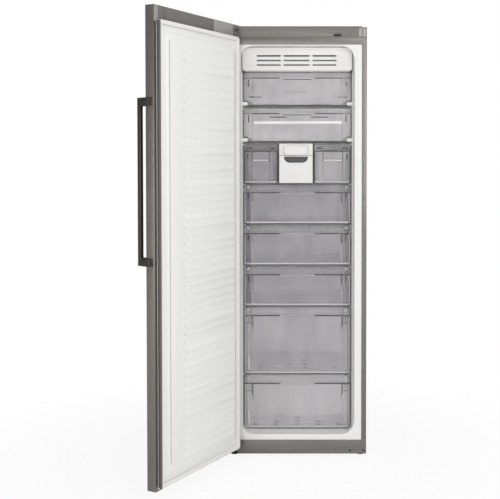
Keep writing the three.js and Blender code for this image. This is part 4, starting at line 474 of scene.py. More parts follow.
def settle(bm: Shape, name: str, body: str, finishes: Sequence[Finish],
           replaced: Sequence[str] = ()) -> None:
    """Turns a bmesh in scene coordinates into a finished piece.

    Args:
        bm: The shape; it is freed.
        name: Name of the piece.
        body: Body that it rides on.
        finishes: Its finishes, by material number.
        replaced: Nodes that it stands for.
    """
    mesh = bpy.data.meshes.new(name)
    bm.to_mesh(mesh)
    bm.free()
    mesh.shade_smooth()
    mesh.set_sharp_from_angle(angle=math.radians(HARD))
    piece = bpy.data.objects.new(name, mesh)
    bpy.context.scene.collection.objects.link(piece)
    dress(piece, *finishes)
    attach(piece, body)
    if replaced:
        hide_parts(*replaced)
    LOG.info("%s is built in %s", name, finishes[0].name)


def round_off(bm: Shape, edges: Sequence[bmesh.types.BMEdge], width: float, steps: int = 2,
              clamp: bool = True) -> None:
    """Rounds edges by a width in millimetres, clamped where two roundings would meet."""
    bmesh.ops.bevel(bm, geom=edges, offset=width / 1000, offset_type="OFFSET", segments=steps, profile=0.5,
                    affect="EDGES", clamp_overlap=clamp, material=-1)


def number_new(bm: Shape, known: set[bmesh.types.BMFace], number: int) -> None:
    """Gives the faces that aren't among the known ones their material number."""
    for face in bm.faces:
        if face not in known:
            face.material_index = number


def rounded_copy(node: str, width: float) -> Shape:
    """Copies a node's shape, merges it and rounds its edges within its own box.

    Args:
        node: The node.
        width: Width of the rounding in millimetres.

    Returns:
        The shape in scene coordinates.
    """
    bm = bmesh.new()
    bm.from_mesh(frame["nodes"][node].data)
    bmesh.ops.remove_doubles(bm, verts=bm.verts, dist=5e-6)
    bmesh.ops.dissolve_limit(bm, angle_limit=math.radians(0.5), verts=bm.verts, edges=bm.edges)
    sharp = [edge for edge in bm.edges if len(edge.link_faces) == 2
             and edge.calc_face_angle(0.0) > math.radians(CREASE)]
    round_off(bm, sharp, width, clamp=False)
    low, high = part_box(node)
    for vert in bm.verts:
        vert.co = [min(max(at, least), most) for at, least, most in zip(vert.co, low, high)]
    return bm


def softened(node: str, finish: Finish, width: float) -> None:
    """Replaces a node by a merged copy whose edges are rounded by a width in millimetres."""
    settle(rounded_copy(node, width), f"{node}_finished", body_of(node), (finish,), (node,))


def clear_copy(node: str, width: float, lip: float = 0.0) -> Shape:
    """Copies a see-through node and sorts its faces into broad ones, edges painted as shade and its foot
    painted as a highlight.

    Args:
        node: The node.
        width: Width of the rounding in millimetres.
        lip: Millimetres above its foot that show bright, where its bend gathers light.

    Returns:
        The shape in scene coordinates.
    """
    sliver, thin, level = 0.3, 2.4, 0.97
    bm = rounded_copy(node, width)
    foot = min(vert.co.z for vert in bm.verts) + lip / 1000
    for part in bm.faces:
        narrow = 2000 * part.calc_area() / max(part.calc_perimeter(), 1e-9)
        if lip and part.calc_center_median().z < foot and narrow > sliver and abs(part.normal.z) < level:
            part.material_index = Band.HIGHLIGHT.value
        elif narrow < thin:
            part.material_index = Band.EDGE_SHADE.value
    return bm


def cube(bm: Shape, low: Triple, high: Triple) -> list[bmesh.types.BMEdge]:
    """Adds a plain box between two corners in millimetres of the cabinet and gives its edges."""
    sizes = ((b - a) / 1000 for a, b in zip(low, high))
    matrix = Matrix.Translation((place(*low) + place(*high)) / 2) @ Matrix.Diagonal((*sizes, 1.0))
    verts = bmesh.ops.create_cube(bm, size=1.0, matrix=matrix)["verts"]
    return list(dict.fromkeys(link for vert in verts for link in vert.link_edges))


def block(bm: Shape, low: Triple, high: Triple, band: Band = Band.FACE, edge: float = 0.5) -> None:
    """Adds a bar with rounded edges between two corners.

    Args:
        bm: The shape that it joins.
        low: Its lowest corner in millimetres of the cabinet.
        high: Its highest corner.
        band: Finish of its faces.
        edge: Rounding of its edges.
    """
    known = set(bm.faces)
    thinnest = min(b - a for a, b in zip(low, high))
    round_off(bm, cube(bm, low, high), min(edge, 0.4 * thinnest))
    number_new(bm, known, band.value)


def disc(bm: Shape, at: Vector, radius: float, depth: float, edge: float, steps: int,
         sides: int = 24, band: Band = Band.FACE) -> None:
    """Adds a round or many-sided stud whose axis runs from front to rear.

    Args:
        bm: The shape that it joins.
        at: Its middle in the scene.
        radius: Its radius in millimetres.
        depth: Its length.
        edge: Rounding of its edges.
        steps: Steps across the rounding.
        sides: Number of its sides.
        band: Finish of its faces.
    """
    known = set(bm.faces)
    turn = Matrix.Translation(at) @ Matrix.Rotation(math.pi / 2, 4, "X")
    made = bmesh.ops.create_cone(bm, cap_ends=True, segments=sides, radius1=radius / 1000,
                                 radius2=radius / 1000, depth=depth / 1000, matrix=turn)
    links = dict.fromkeys(link for vert in made["verts"] for link in vert.link_edges)
    rims = [link for link in links if len(link.link_faces) == 2 and link.calc_face_angle(0.0) > 1.0]
    round_off(bm, rims, edge, steps)
    number_new(bm, known, band.value)


def settle_clear(bm: Shape, node: str, face: Finish) -> None:
    """Turns a clear shape with a Band's value on each face into the piece that stands for its node."""
    settle(bm, f"{node}_finished", body_of(node), (face, *BAND_FINISHES), (node,))


def keep(nodes: Iterable[str], finish: Finish) -> None:
    """Gives carried-over nodes their finish."""
    for node in nodes:
        dress(frame["nodes"][node], finish)
        LOG.info("%s keeps its shape in %s", node, finish.name)


# Sub-assemblies


@dataclass
class Cabinet:
    """Steel housing, base and what closes the rear."""

    half: float = 297.5
    plinth_screws: Span = (69.5, 11.5)
    plinth_screw_height: float = 26.0
    plinth_screw_rear: float = -0.05
    plinth_screw_size: Span = (4.4, 1.8)
    # Strips of painted highlight on the top cover: their ends from the middle, heights and faces.
    highlight_strips: tuple[Span, ...] = ((263.0, 274.0), (280.0, 292.0))
    highlight_foot: float = 1806.0
    highlight_head: float = 1842.0
    highlight_faces: Span = (-0.3, 0.6)
    rear_screw: tuple[tuple[float, float, int], ...] = ((6.2, 1.2, 24), (4.2, 3.0, 6))
    rear_screw_sunk: float = 0.2
    rear_screw_inset: float = 14.0
    panel_rows: tuple[float, ...] = (0.02, 0.2, 0.4, 0.6, 0.8, 0.98)
    cover_rows: tuple[float, ...] = (0.1, 0.9)

    def front_screws(self) -> None:
        """Sets the two dark screws of the plinth."""
        bm = bmesh.new()
        radius, depth = self.plinth_screw_size
        for inset in self.plinth_screws:
            at = place(self.half - inset, self.plinth_screw_rear - depth / 2, self.plinth_screw_height)
            disc(bm, at, radius, depth, 0.3 * depth, 3)
        settle(bm, "plinth_screws", "cabinet", (BLACK_PAINT,))

    def cover_highlights(self) -> None:
        """Paints two highlights, as pale strips, at the right end of the top cover."""
        bm = bmesh.new()
        front, back = self.highlight_faces
        for left, right in self.highlight_strips:
            block(bm, (left, front, self.highlight_foot), (right, back, self.highlight_head), edge=0.3)
        settle(bm, "top_cover_highlights", "cabinet", (GREY_HIGHLIGHT,))

    def rear_screws(self) -> None:
        """Screws down the rear panel and the machine cover with flanged hexagons."""
        bm = bmesh.new()
        inset = self.rear_screw_inset / 1000
        for node, rows in (("back_panel", self.panel_rows), ("machine_cover", self.cover_rows)):
            plane = self.panel_plane(node)
            low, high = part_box(node)
            for row in rows:
                for x in (low.x + inset, high.x - inset):
                    for radius, depth, sides in self.rear_screw:
                        y = plane + (depth / 2 - self.rear_screw_sunk) / 1000
                        at = Vector((x, y, low.z + row * (high.z - low.z)))
                        disc(bm, at, radius, depth, 0.4, 2, sides)
        settle(bm, "rear_screws", "cabinet", (ZINC_DARK,))

    def panel_plane(self, node: str) -> float:
        """Finds the plane of a sheet's margin, below its pressed fields."""
        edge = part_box(node)[0].x + 0.002
        return max(vert.co.y for vert in frame["nodes"][node].data.vertices if vert.co.x < edge)

    def build(self) -> None:
        """Builds and dresses the housing."""
        self.front_screws()
        self.rear_screws()
        self.cover_highlights()
        softened("outer_shell", STEEL, 0.3)
        softened("top_cover", GREY, 0.3)
        softened("plinth", GREY, 0.4)
        softened("back_panel", ZINC, 0.3)
        softened("machine_cover", ZINC, 0.4)
        keep(("bottom_panel", "base_frame", "upper_hinge"), ZINC)
        keep(("cabinet_foam",), FOAM)
        keep(("lower_hinge", "compressor"), BLACK_PAINT)
        keep(("refrigerant_pipes",), COPPER)
        keep(("drip_tray", "mains_inlet", "door_switch", "rear_roller_left", "rear_roller_right",
              "levelling_foot_left", "levelling_foot_right", "fan_impeller"), BLACK_PLASTIC)


@dataclass
class ColdRoom:
    """Liner, shelves and the air path."""

    mouth: float = 246.5
    room: float = 237.0
    rib_low: Span = (40.0, 120.0)
    rib_high: Span = (56.0, 1655.0)
    rib_edge: float = 2.5
    collar_half: float = 237.4
    collar_faces: Span = (33.0, 36.0)
    collar_foot: float = 1736.0
    collar_head: float = 1763.4
    collar_corner: float = 14.0
    ridge_half: float = 218.0
    ridge_faces: Span = (31.5, 40.0)
    ridge_foot: float = 1756.5
    vane_ends: Span = (-186.0, 180.0)
    vane_faces: Span = (34.6, 36.0)
    vanes: tuple[Span, ...] = ((1682.4, 1688.9), (1702.0, 1707.3), (1721.6, 1725.7))
    shelves: int = 7

    def side_ribs(self) -> None:
        """Adds the white rib of the liner that closes the gap beside the drawers."""
        bm = bmesh.new()
        for side in (-1, 1):
            left, right = sorted((side * self.room, side * self.mouth))
            block(bm, (left, *self.rib_low), (right, *self.rib_high), edge=self.rib_edge)
        settle(bm, "liner_side_ribs", body_of("liner"), (WHITE,))

    def collar(self) -> None:
        """Closes the gap round the upper edge of the vent cover."""
        bm = bmesh.new()
        front, back = self.collar_faces
        middle = place(0.0, 0.0, (self.collar_foot + self.collar_head) / 2).z
        half = self.collar_half
        edges = cube(bm, (-half, front, self.collar_foot), (half, back, self.collar_head))
        upper = [edge for edge in edges if min(vert.co.z for vert in edge.verts) > middle
                 and abs((edge.verts[0].co - edge.verts[1].co).y) > 0.001]
        round_off(bm, upper, self.collar_corner, 8)
        front, back = self.ridge_faces
        block(bm, (-self.ridge_half, front, self.ridge_foot), (self.ridge_half, back, self.collar_head))
        settle(bm, "vent_collar", body_of("evaporator_cover"), (WHITE,))

    def louvres(self) -> None:
        """Sets a vane behind each row of air slots, in a grey that paints the shade inside the slots."""
        bm = bmesh.new()
        left, right = self.vane_ends
        front, back = self.vane_faces
        for foot, head in self.vanes:
            block(bm, (left, front, foot), (right, back, head))
        settle(bm, "vent_louvres", body_of("evaporator_cover"), (LOUVRE_SHADE,))

    def build(self) -> None:
        """Builds and dresses what lines the room."""
        self.side_ribs()
        self.collar()
        self.louvres()
        softened("liner", WHITE, 0.5)
        softened("evaporator_cover", SATIN, 0.5)
        keep(("evaporator_tray", "fan_shroud", "air_duct"), DULL)
        keep(("evaporator_coil",), ALUMINIUM)
        for index in range(1, self.shelves + 1):
            softened(f"shelf_{index}", GLASS, 0.6)


@dataclass(kw_only=True)
class ClearFront:
    """Clear moulding whose front plane carries low ribs painted with light and shade."""

    face: Finish = CLEAR
    plane: float = 58.0
    proud: float = 0.7
    sunk: float = 0.6
    scoop: float = 76.0

    def bar(self, bm: Shape, start: float, end: float, low: float, high: float, band: Band) -> None:
        """Adds a low rib to the front plane, between two ends and two heights, painted with its band's light
        or shade.
        """
        left, right = sorted((start, end))
        block(bm, (left, self.plane - self.proud, low), (right, self.plane + self.sunk, high), band)

    def fade_dip(self, bm: Shape, ledge: float) -> None:
        """Paints the edge of the finger scoop, at the ledge's height, as a faint highlight instead of shade.
        """
        reach = self.scoop + 8.0
        low, high = place(-reach, 0, ledge - 22), place(reach, 0, ledge + 8)
        for face in bm.faces:
            at = face.calc_center_median()
            if face.material_index == Band.EDGE_SHADE.value and low.x < at.x < high.x and low.z < at.z < high.z:
                face.material_index = Band.FAINT_HIGHLIGHT.value


@dataclass
class WideDrawer(ClearFront):
    """Clear drawer across the whole room: its front with its moulded lines, and its tub.

    Each row of drain slots gives its place behind the front plane, its pitch, its number and
    the length of a slot. Marks give their ends, then their heights from the column's top.
    """

    index: int
    foot: float
    ledge: float
    slots: tuple[tuple[float, float, int, float], ...] = ((110.0, 67.0, 6, 18.0),)
    tall: bool = False
    shell: Finish = CLEAR_TUB
    half: float = 233.0
    side_gap: float = 0.4
    rim: float = 3.4
    glint: float = 4.0
    corner: float = 10.0
    lip: float = 8.0
    lip_inset: float = 9.0
    lip_lift: float = 1.6
    shadow_inset: float = 7.0
    ledge_line: Span = (-1.4, 2.0)
    dip_line: Span = (-3.4, -0.4)
    corner_line: Span = (0.8, 3.2)
    column: float = 197.0
    tick: float = 44.0
    tick_gap: float = 2.0
    step: Span = (-31.0, -28.6)
    gleam: tuple[float, float, float, float] = (-216.0, -205.0, 8.0, 68.0)
    fade: float = 0.72
    low_marks: Marks = ((-216.0, -211.0, -27.0, -5.0, Band.SLOT_SHADE), (191.0, 194.0, -40.0, 0.0, Band.SLOT_SHADE),
                        (213.0, 216.0, -24.0, -5.0, Band.SHADE))
    stud: float = 213.0
    stud_lift: float = 24.0
    stud_size: Span = (7.0, 5.0)
    recess: float = 73.0
    floor_thickness: float = 1.9
    slot_rims: Span = (-5.0, 2.7)
    slot_rim_width: float = 2.3

    def frame_lines(self, bm: Shape) -> None:
        """Paints shade and a highlight along the sides, brighter on the right, and a highlight over a line
        of shade along the thick bent foot.
        """
        low, inner = self.foot + self.corner, self.half - self.rim
        for side, band in ((-1, Band.FAINT_HIGHLIGHT), (1, Band.HIGHLIGHT)):
            self.bar(bm, side * (self.half - self.side_gap), side * inner, low, self.ledge - 1.0, Band.EDGE_SHADE)
            self.bar(bm, side * inner, side * (inner - self.glint), low, self.ledge - 3.0, band)
        lip, reach = self.foot + self.lip_lift, self.half - self.lip_inset
        self.bar(bm, -reach, reach, lip, lip + self.lip, Band.HIGHLIGHT)
        reach = self.half - self.shadow_inset
        self.bar(bm, -reach, reach, self.foot - self.lip_lift, lip - 0.2, Band.EDGE_SHADE)

    def ledge_lines(self, bm: Shape) -> None:
        """Paints the edge of the ledge as a line of shade, which dips over the finger scoop as a faint
        highlight, with shade at both ends.
        """
        line, dip, end = ([self.ledge + lift for lift in span]
                          for span in (self.ledge_line, self.dip_line, self.corner_line))
        self.bar(bm, -self.scoop, self.scoop, *dip, Band.FAINT_HIGHLIGHT)
        for side in (-1, 1):
            self.bar(bm, side * self.scoop, side * self.column, *line, Band.EDGE_SHADE)
            self.bar(bm, side * self.column, side * (self.half - 2.0), *end, Band.SHADE)

    def studs(self, bm: Shape) -> None:
        """Adds the two studs above the ledge, painted as a highlight on the left and a fainter one on the
        right.
        """
        radius, depth = self.stud_size
        for side, band in ((-1, Band.HIGHLIGHT), (1, Band.FAINT_HIGHLIGHT)):
            at = place(side * self.stud, self.recess - depth / 2, self.ledge + self.stud_lift)
            disc(bm, at, radius, depth, 0.3 * depth, 3, band=band)

    def tall_columns(self, bm: Shape, low: float, high: float) -> None:
        """Paints the two side columns of a tall front: shade at their tops and across a step, faint
        highlights below, and a faint highlight at the left.
        """
        down, up = self.step
        for side in (-1, 1):
            x = side * self.column
            self.bar(bm, x - 1.4, x + 1.4, high - self.tick, high, Band.EDGE_SHADE)
            self.bar(bm, x - 1.0, x + 1.0, low, high - self.tick - self.tick_gap, Band.FAINT_HIGHLIGHT)
            self.bar(bm, x, side * (self.half - 4.0), high + down, high + up, Band.SHADE)
        left, right, foot, head = self.gleam
        self.bar(bm, left, right, low + foot, low + head, Band.FAINT_HIGHLIGHT)

    def low_columns(self, bm: Shape, low: float, high: float) -> None:
        """Paints the two side columns of a low front: faint highlights along them, shade at the left, and
        their slots and marks as shade.
        """
        left, right, start = -self.column, self.column - 6.0, -self.half + 7.6
        self.bar(bm, left - 1.6, left + 1.6, low, low + self.fade * (high - low), Band.FAINT_HIGHLIGHT)
        self.bar(bm, start, left - self.tick_gap, low, high, Band.SHADE)
        self.bar(bm, right, right + 2.4, low, high - 42.0, Band.FAINT_HIGHLIGHT)
        for start, end, foot, head, band in self.low_marks:
            self.bar(bm, start, end, high + foot, high + head, band)

    def tub(self) -> None:
        """Builds the tub with a raised rim along each drain slot, painted as shade on tall tubs and as a
        faint highlight on low ones.
        """
        node = f"drawer_{self.index}_tub"
        bm = clear_copy(node, 0.4)
        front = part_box(node)[0].y + 0.003
        for part in bm.faces:
            if self.tall and abs(part.normal.y) > 0.9 and part.calc_center_median().y < front:
                part.material_index = Band.OPEN.value
        floor = 1000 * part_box(node)[0].z + self.floor_thickness
        height, band = (4.6, Band.SLOT_SHADE) if self.tall else (1.8, Band.FAINT_HIGHLIGHT)
        for behind, pitch, count, length in self.slots:
            for number in range(count):
                x = (number - (count - 1) / 2) * pitch
                for rim in self.slot_rims:
                    y = self.plane + behind + rim
                    block(bm, (x - length / 2, y, floor),
                          (x + length / 2, y + self.slot_rim_width, floor + height), band)
        settle_clear(bm, node, self.shell)

    def build(self) -> None:
        """Builds the front and the tub."""
        node = f"drawer_{self.index}_front"
        bm = clear_copy(node, 0.6, lip=self.lip)
        self.fade_dip(bm, self.ledge)
        self.frame_lines(bm)
        self.ledge_lines(bm)
        self.studs(bm)
        columns = self.tall_columns if self.tall else self.low_columns
        columns(bm, self.foot + self.corner, self.ledge - 2.0)
        settle_clear(bm, node, self.face)
        self.tub()


@dataclass
class Flap(ClearFront):
    """Hinged clear flap of one of the two fast-freezing shelves."""

    node: str
    foot: float
    ledge: float
    marks: Marks
    window: float = 194.0
    line: float = 1.6
    foot_ends: Span = (-208.0, 212.0)

    def build(self) -> None:
        """Builds the flap with its window lines and marks, painted with light and shade."""
        bm = clear_copy(self.node, 0.5)
        self.fade_dip(bm, self.ledge)
        for side in (-1, 1):
            x = side * self.window
            self.bar(bm, side * self.scoop, x, self.ledge - self.line, self.ledge + self.line, Band.EDGE_SHADE)
            self.bar(bm, x - 1.4, x + 1.4, self.foot + 4.0, self.ledge - 1.8, Band.SHADE)
        self.bar(bm, -self.scoop, self.scoop, self.ledge - 2.6, self.ledge + 0.4, Band.FAINT_HIGHLIGHT)
        self.bar(bm, *self.foot_ends, self.foot + 0.4, self.foot + 3.4, Band.EDGE_SHADE)
        for mark in self.marks:
            self.bar(bm, *mark)
        settle_clear(bm, self.node, self.face)


@dataclass
class SmallDrawer(ClearFront):
    """Narrow clear drawer beside the ice maker."""

    node: str
    left: float
    right: float
    column: Span
    slot: float
    foot: float = 1180.3
    ledge: float = 1319.0
    tick: float = 48.0
    label: Span = (-45.0, -38.0)
    slot_heights: Span = (-36.0, -15.0)
    catch_insets: Span = (24.0, -22.0)

    def build(self) -> None:
        """Builds the drawer with its centre column, bar and foot, drawn as painted shade and highlights."""
        bm = clear_copy(self.node, 0.5, lip=6.0)
        start, end = self.column
        self.bar(bm, self.left + 4, self.right - 4, self.ledge - 1.4, self.ledge + 2.0, Band.EDGE_SHADE)
        for x in self.column:
            self.bar(bm, x - 1.3, x + 1.3, self.ledge - self.tick, self.ledge - 2, Band.EDGE_SHADE)
            self.bar(bm, x - 1.1, x + 1.1, self.foot + 12, self.ledge - self.tick - 4, Band.SHADE)
        low, high = (self.ledge + lift for lift in self.label)
        self.bar(bm, start + 4, end - 4, low, high, Band.BRIGHT)
        low, high = (self.ledge + lift for lift in self.slot_heights)
        self.bar(bm, self.slot - 2.2, self.slot + 2.2, low, high, Band.SLOT_SHADE)
        self.bar(bm, self.left + 5, self.right - 5, self.foot + 1.5, self.foot + 7.5, Band.HIGHLIGHT)
        for x in (self.left + 1.8, self.right - 1.8):
            self.bar(bm, x - 1.5, x + 1.5, self.foot + 8, self.ledge - 2, Band.EDGE_SHADE)
        for side, inset in zip((self.left, self.right), self.catch_insets):
            x = side + inset
            block(bm, (x - 12, 69.0, self.ledge + 11), (x + 12, 73.6, self.ledge + 15), Band.SLOT_SHADE)
        settle_clear(bm, self.node, self.face)


@dataclass
class IceMaker:
    """White twist ice maker between the small drawers."""

    scoop_low: Triple = (-56.0, 65.0, 1255.0)
    scoop_high: Triple = (45.0, 66.5, 1295.0)

    def build(self) -> None:
        """Builds and dresses the ice maker, and sets a grey plate of painted shade in the bin's scoop."""
        for node in ("ice_maker_housing", "ice_bin", "twist_lever"):
            softened(node, SATIN, 0.5)
        softened("ice_tray", DULL, 0.4)
        bm = bmesh.new()
        block(bm, self.scoop_low, self.scoop_high)
        settle(bm, "ice_scoop_painted_shade", body_of("ice_bin"), (SHADOW_GREY,))


@dataclass
class Storage:
    """Everything that holds the food."""

    parts: tuple[object, ...] = (
        Flap("flap_upper", 1515.0, 1635.0, (
            (-209, -184, 1551, 1555, Band.SLOT_SHADE), (-183, -153, 1551, 1554, Band.EDGE_SHADE),
            (176, 190, 1551, 1554, Band.EDGE_SHADE), (198, 217, 1551, 1554, Band.SLOT_SHADE),
            (-60, 40, 1573, 1576, Band.SHADE), (-145, -70, 1519, 1522, Band.SHADE),
            (60, 140, 1519, 1521, Band.SHADE)), face=CLEAR_PAINTED_LIGHTER),
        Flap("flap_lower", 1358.5, 1481.0, (
            (-188, 195, 1436, 1449, Band.BRIGHT), (-121, -46, 1464, 1468, Band.SLOT_SHADE),
            (57, 135, 1464, 1468, Band.SLOT_SHADE), (-176, -173, 1484, 1500, Band.SHADE),
            (178, 181, 1484, 1500, Band.SHADE)), face=CLEAR_PAINTED_LIGHTER),
        SmallDrawer("small_drawer_left", -231.0, -85.5, (-197.0, -121.0), -215.0),
        SmallDrawer("small_drawer_right", 74.0, 231.0, (112.0, 197.0), 217.0, face=CLEAR_PAINTED_LIGHT),
        WideDrawer(1, 1003.5, 1138.0),
        WideDrawer(2, 823.5, 960.0),
        WideDrawer(3, 644.5, 780.0),
        WideDrawer(4, 346.5, 601.0, ((109.0, 67.0, 6, 18.0), (185.0, 67.0, 4, 18.0), (256.0, 52.0, 2, 18.0)),
                   tall=True, shell=CLEAR_PAINTED_LIGHTER, face=CLEAR_PAINTED_LIGHT),
        WideDrawer(5, 107.3, 303.0, ((41.0, 92.4, 5, 22.0), (89.0, 92.4, 3, 22.0), (145.0, 92.4, 1, 34.0)),
                   tall=True, shell=CLEAR_PAINTED_LIGHTEST, face=CLEAR_PAINTED_LIGHT),
        IceMaker())

    def build(self) -> None:
        """Builds every flap, drawer and the ice maker."""
        for part in self.parts:
            part.build()


@dataclass(frozen=True)
class Plate:
    """Thin plate on the door's cap: ends from the hinge axis, heights, how far it stands out, material."""

    left: float
    right: float
    foot: float
    head: float
    proud: float
    number: int


@dataclass
class Door:
    """Door with its panel, seal, caps and handle; it stands open at rest."""

    hinge: Span = (-274.0, -33.0)
    opening: float = 118.0
    back: float = 19.0
    raised: float = 6.0
    latch_bar: float = 0.2725
    seal_end: float = 0.82
    # Lines of painted shade beside the raised field: ends from the hinge axis, then heights.
    latch_shade_line: Span = (481.0, 486.0)
    latch_shade_line_heights: Span = (120.0, 1726.0)
    hinge_shade_line: Span = (11.0, 14.0)
    hinge_shade_line_heights: Span = (112.0, 1742.0)
    rib_end_at: float = 390.0
    rib_end_foot: float = 155.0
    rib_end_head: float = 1695.0
    rib_end_size: Triple = (8.5, 0.9, 5.0)
    rib_pitch: float = 32.0
    # Plates painted on the cap; number 0 is painted shade, 1 the cap's own grey, 2 a painted highlight.
    cap_plates: tuple[Plate, ...] = (
        Plate(505.0, 511.0, 1789.5, 1848.0, 0.4, 0), Plate(172.0, 176.0, 1789.5, 1848.0, 0.4, 1),
        Plate(547.5, 570.5, 1789.5, 1848.0, 0.4, 2), Plate(300.0, 545.5, 1788.5, 1797.5, 0.5, 0),
        Plate(26.0, 171.0, 1790.5, 1847.0, 0.3, 2))

    def swing(self) -> Matrix:
        """Gives the turn from the closed door's place to the open one, about its hinge."""
        axis = place(*self.hinge, 0.0)
        turn = Matrix.Rotation(-math.radians(self.opening), 4, "Z")
        return Matrix.Translation(axis) @ turn @ Matrix.Translation(-axis)

    def bar(self, bm: Shape, low: Triple, high: Triple, number: int = 0) -> None:
        """Adds a bar between two corners given in millimetres from the closed door's hinge axis."""
        x, y = self.hinge
        block(bm, (low[0] + x, low[1] + y, low[2]), (high[0] + x, high[1] + y, high[2]), Band(number), 0.4)

    def finish(self, bm: Shape, name: str, *finishes: Finish) -> None:
        """Turns a shape from the closed to the open place and makes it a piece of the door."""
        bmesh.ops.transform(bm, matrix=self.swing(), verts=bm.verts)
        settle(bm, name, body_of("door_panel"), finishes)

    def gasket(self) -> None:
        """Builds the seal: white towards the room, with painted shade in dark grey on its latch side and on
        the outward faces of its ends.
        """
        bm = rounded_copy("door_gasket", 0.8)
        along = self.swing().to_3x3() @ Vector((1.0, 0.0, 0.0))
        middle = sum((vert.co for vert in bm.verts), Vector()) / len(bm.verts)
        bmesh.ops.bisect_plane(bm, geom=[*bm.verts, *bm.edges, *bm.faces], dist=1e-6,
                               plane_co=middle + along * self.latch_bar, plane_no=along)
        for face in bm.faces:
            off = face.calc_center_median() - middle
            outward = face.normal.z * (1 if off.z > 0 else -1)
            if off.dot(along) > self.latch_bar or outward > 0.6 and abs(off.z) > self.seal_end:
                face.material_index = 1
        settle(bm, "door_gasket_finished", body_of("door_gasket"), (SEAL, PAINTED_SHADE_GREY), ("door_gasket",))

    def rib_end_shade(self, bm: Shape, z: float) -> None:
        """Adds a flat, soft-edged spot of painted shade at the end of a rib, at a height above the floor."""
        at = place(self.hinge[0] + self.rib_end_at, self.hinge[1] + self.back + self.raised, z)
        known = set(bm.faces)
        bmesh.ops.create_icosphere(bm, subdivisions=2, radius=0.001,
                                   matrix=Matrix.Translation(at) @ Matrix.Diagonal((*self.rib_end_size, 1.0)))
        number_new(bm, known, 1)

    def panel_lines(self) -> None:
        """Paints a line of shade beside the raised field on each side, and a spot of shade at the end of
        each rib.
        """
        bm = bmesh.new()
        shade_lines = ((self.latch_shade_line, self.latch_shade_line_heights, self.back + self.raised),
                   (self.hinge_shade_line, self.hinge_shade_line_heights, self.back))
        for (left, right), (foot, head), plane in shade_lines:
            self.bar(bm, (left, plane - 0.4, foot), (right, plane + 0.5, head))
        z = self.rib_end_foot
        while z < self.rib_end_head:
            self.rib_end_shade(bm, z)
            z += self.rib_pitch
        self.finish(bm, "door_panel_shade_lines", PANEL_SHADE_LINE, RIB_END_SHADE)

    def cap_light_and_shade(self) -> None:
        """Paints the top cap: shade in its seam and along its foot, a grey seam line, and highlights at its
        pale ends.
        """
        bm = bmesh.new()
        for plate in self.cap_plates:
            self.bar(bm, (plate.left, self.back - 0.4, plate.foot),
                     (plate.right, self.back + plate.proud, plate.head), plate.number)
        self.finish(bm, "door_cap_light_and_shade", PAINTED_SHADE_GREY, GREY, GREY_HIGHLIGHT)

    def build(self) -> None:
        """Builds and dresses the door."""
        softened("door_skin", STEEL, 0.3)
        softened("door_panel", PANEL, 0.5)
        keep(("door_foam",), FOAM)
        self.gasket()
        self.panel_lines()
        self.cap_light_and_shade()
        for node in ("door_top_cap", "door_bottom_cap"):
            softened(node, GREY, 0.5)
        for node in ("handle_bar", "handle_bracket_upper", "handle_bracket_lower"):
            softened(node, CHARCOAL, 0.6)


# Studio


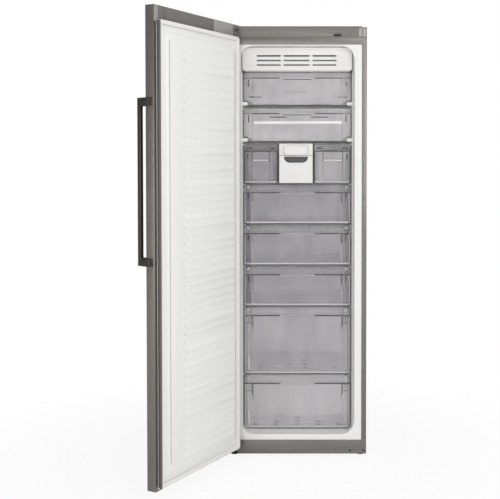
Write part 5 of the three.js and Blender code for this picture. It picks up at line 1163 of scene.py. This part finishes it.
@dataclass
class Studio:
    """Pale floor, soft lights and the camera."""

    focal: float = 65.25
    sensor: float = 36.0
    distance: float = 3881.0
    height: float = 1264.8
    horizon: float = -0.172
    side_shift: float = -0.0945
    up_shift: float = -0.12
    floor_radius: float = 14.0
    floor_fade: Span = (0.5, 1.7)
    floor_share: float = 0.9
    floor_grey: float = 0.93
    room_sides: Span = (-0.9, 0.7)
    room_light: Span = (0.32, 0.7)
    aim: Triple = (0.0, 0.0, 950.0)
    lamps: tuple[tuple[str, Triple, float, float], ...] = (
        ("key", (1900.0, -3400.0, 2300.0), 2.6, 47.0), ("fill", (-1900.0, -3900.0, 1250.0), 2.4, 44.0))

    def floor(self) -> None:
        """Lays a wide pale floor that fades into the backdrop's white."""
        bm = bmesh.new()
        bmesh.ops.create_circle(bm, cap_ends=True, segments=64, radius=self.floor_radius)
        mesh = bpy.data.meshes.new("floor")
        bm.to_mesh(mesh)
        bm.free()
        floor = bpy.data.objects.new("floor", mesh)
        bpy.context.scene.collection.objects.link(floor)
        material, nodes, shader = new_material("pale floor")
        shader.inputs["Base Color"].default_value = (self.floor_grey, self.floor_grey, self.floor_grey, 1.0)
        shader.inputs["Roughness"].default_value = 0.8
        far = nodes.add("ShaderNodeVectorMath", {"operation": "LENGTH"}, Vector=nodes.where())
        fade = nodes.smooth(far.outputs["Value"], *self.floor_fade, self.floor_share, 1.0)
        seen = nodes.add("ShaderNodeLightPath").outputs["Is Camera Ray"]
        glow = nodes.add("ShaderNodeEmission", None, Color=WHITE_LIGHT, Strength=1.0)
        blend = nodes.add("ShaderNodeMixShader")
        share = nodes.math("MULTIPLY", fade, seen)
        for socket, value in enumerate((share, shader.outputs[0], glow.outputs[0])):
            nodes.feed(blend, socket, value)
        nodes.feed(material.node_tree.nodes["Material Output"], 0, blend.outputs[0])
        mesh.materials.append(material)

    def lamp(self, name: str, at: Vector, size: float, power: float) -> None:
        """Hangs a square lamp that faces the freezer.

        Args:
            name: Name of the lamp.
            at: Its place.
            size: Its side in metres.
            power: Its power in watts.
        """
        data = bpy.data.lights.new(name, "AREA")
        data.shape, data.size, data.energy = "SQUARE", size, power
        lamp = bpy.data.objects.new(name, data)
        lamp.location = at
        lamp.rotation_euler = (place(*self.aim) - at).to_track_quat("-Z", "Y").to_euler()
        bpy.context.scene.collection.objects.link(lamp)

    def world(self) -> None:
        """Surrounds the freezer with soft white, dimmer on its left and brightest to the camera itself."""
        world = bpy.data.worlds.new("studio")
        bpy.context.scene.world = world
        world.use_nodes = True
        nodes = Nodes(world.node_tree)
        way = nodes.add("ShaderNodeTexCoord").outputs["Generated"]
        side = nodes.add("ShaderNodeSeparateXYZ", None, Vector=way).outputs[0]
        room = nodes.smooth(side, *self.room_sides, *self.room_light)
        seen = nodes.add("ShaderNodeLightPath").outputs["Is Camera Ray"]
        background = world.node_tree.nodes["Background"]
        background.inputs["Color"].default_value = WHITE_LIGHT
        nodes.feed(background, "Strength", nodes.spread(seen, room, 1.0))

    def camera(self) -> None:
        """Puts the camera at the photograph's place."""
        data = bpy.data.cameras.new("camera")
        data.lens, data.sensor_width = self.focal, self.sensor
        data.shift_x, data.shift_y = self.side_shift, self.up_shift
        camera = bpy.data.objects.new("camera", data)
        camera.location = place(0, -self.distance, self.height)
        pitch = math.atan((self.up_shift - self.horizon) * self.sensor / self.focal)
        camera.rotation_euler = (math.pi / 2 - pitch, 0.0, 0.0)
        bpy.context.scene.collection.objects.link(camera)
        bpy.context.scene.camera = camera

    def build(self) -> None:
        """Sets up the studio."""
        bpy.context.scene.view_settings.view_transform = "Standard"
        bpy.context.scene.cycles.transparent_max_bounces = 24
        self.floor()
        self.world()
        for name, at, size, power in self.lamps:
            self.lamp(name, place(*at), size, power)
        self.camera()


def main() -> None:
    """Builds every sub-assembly, then the studio."""
    logging.basicConfig(level=logging.INFO, format="%(name)s: %(message)s")
    for assembly in (Cabinet(), ColdRoom(), Storage(), Door()):
        assembly.build()
        LOG.info("%s is built", type(assembly).__name__)
    Studio().build()


if __name__ == "__main__":
    main()
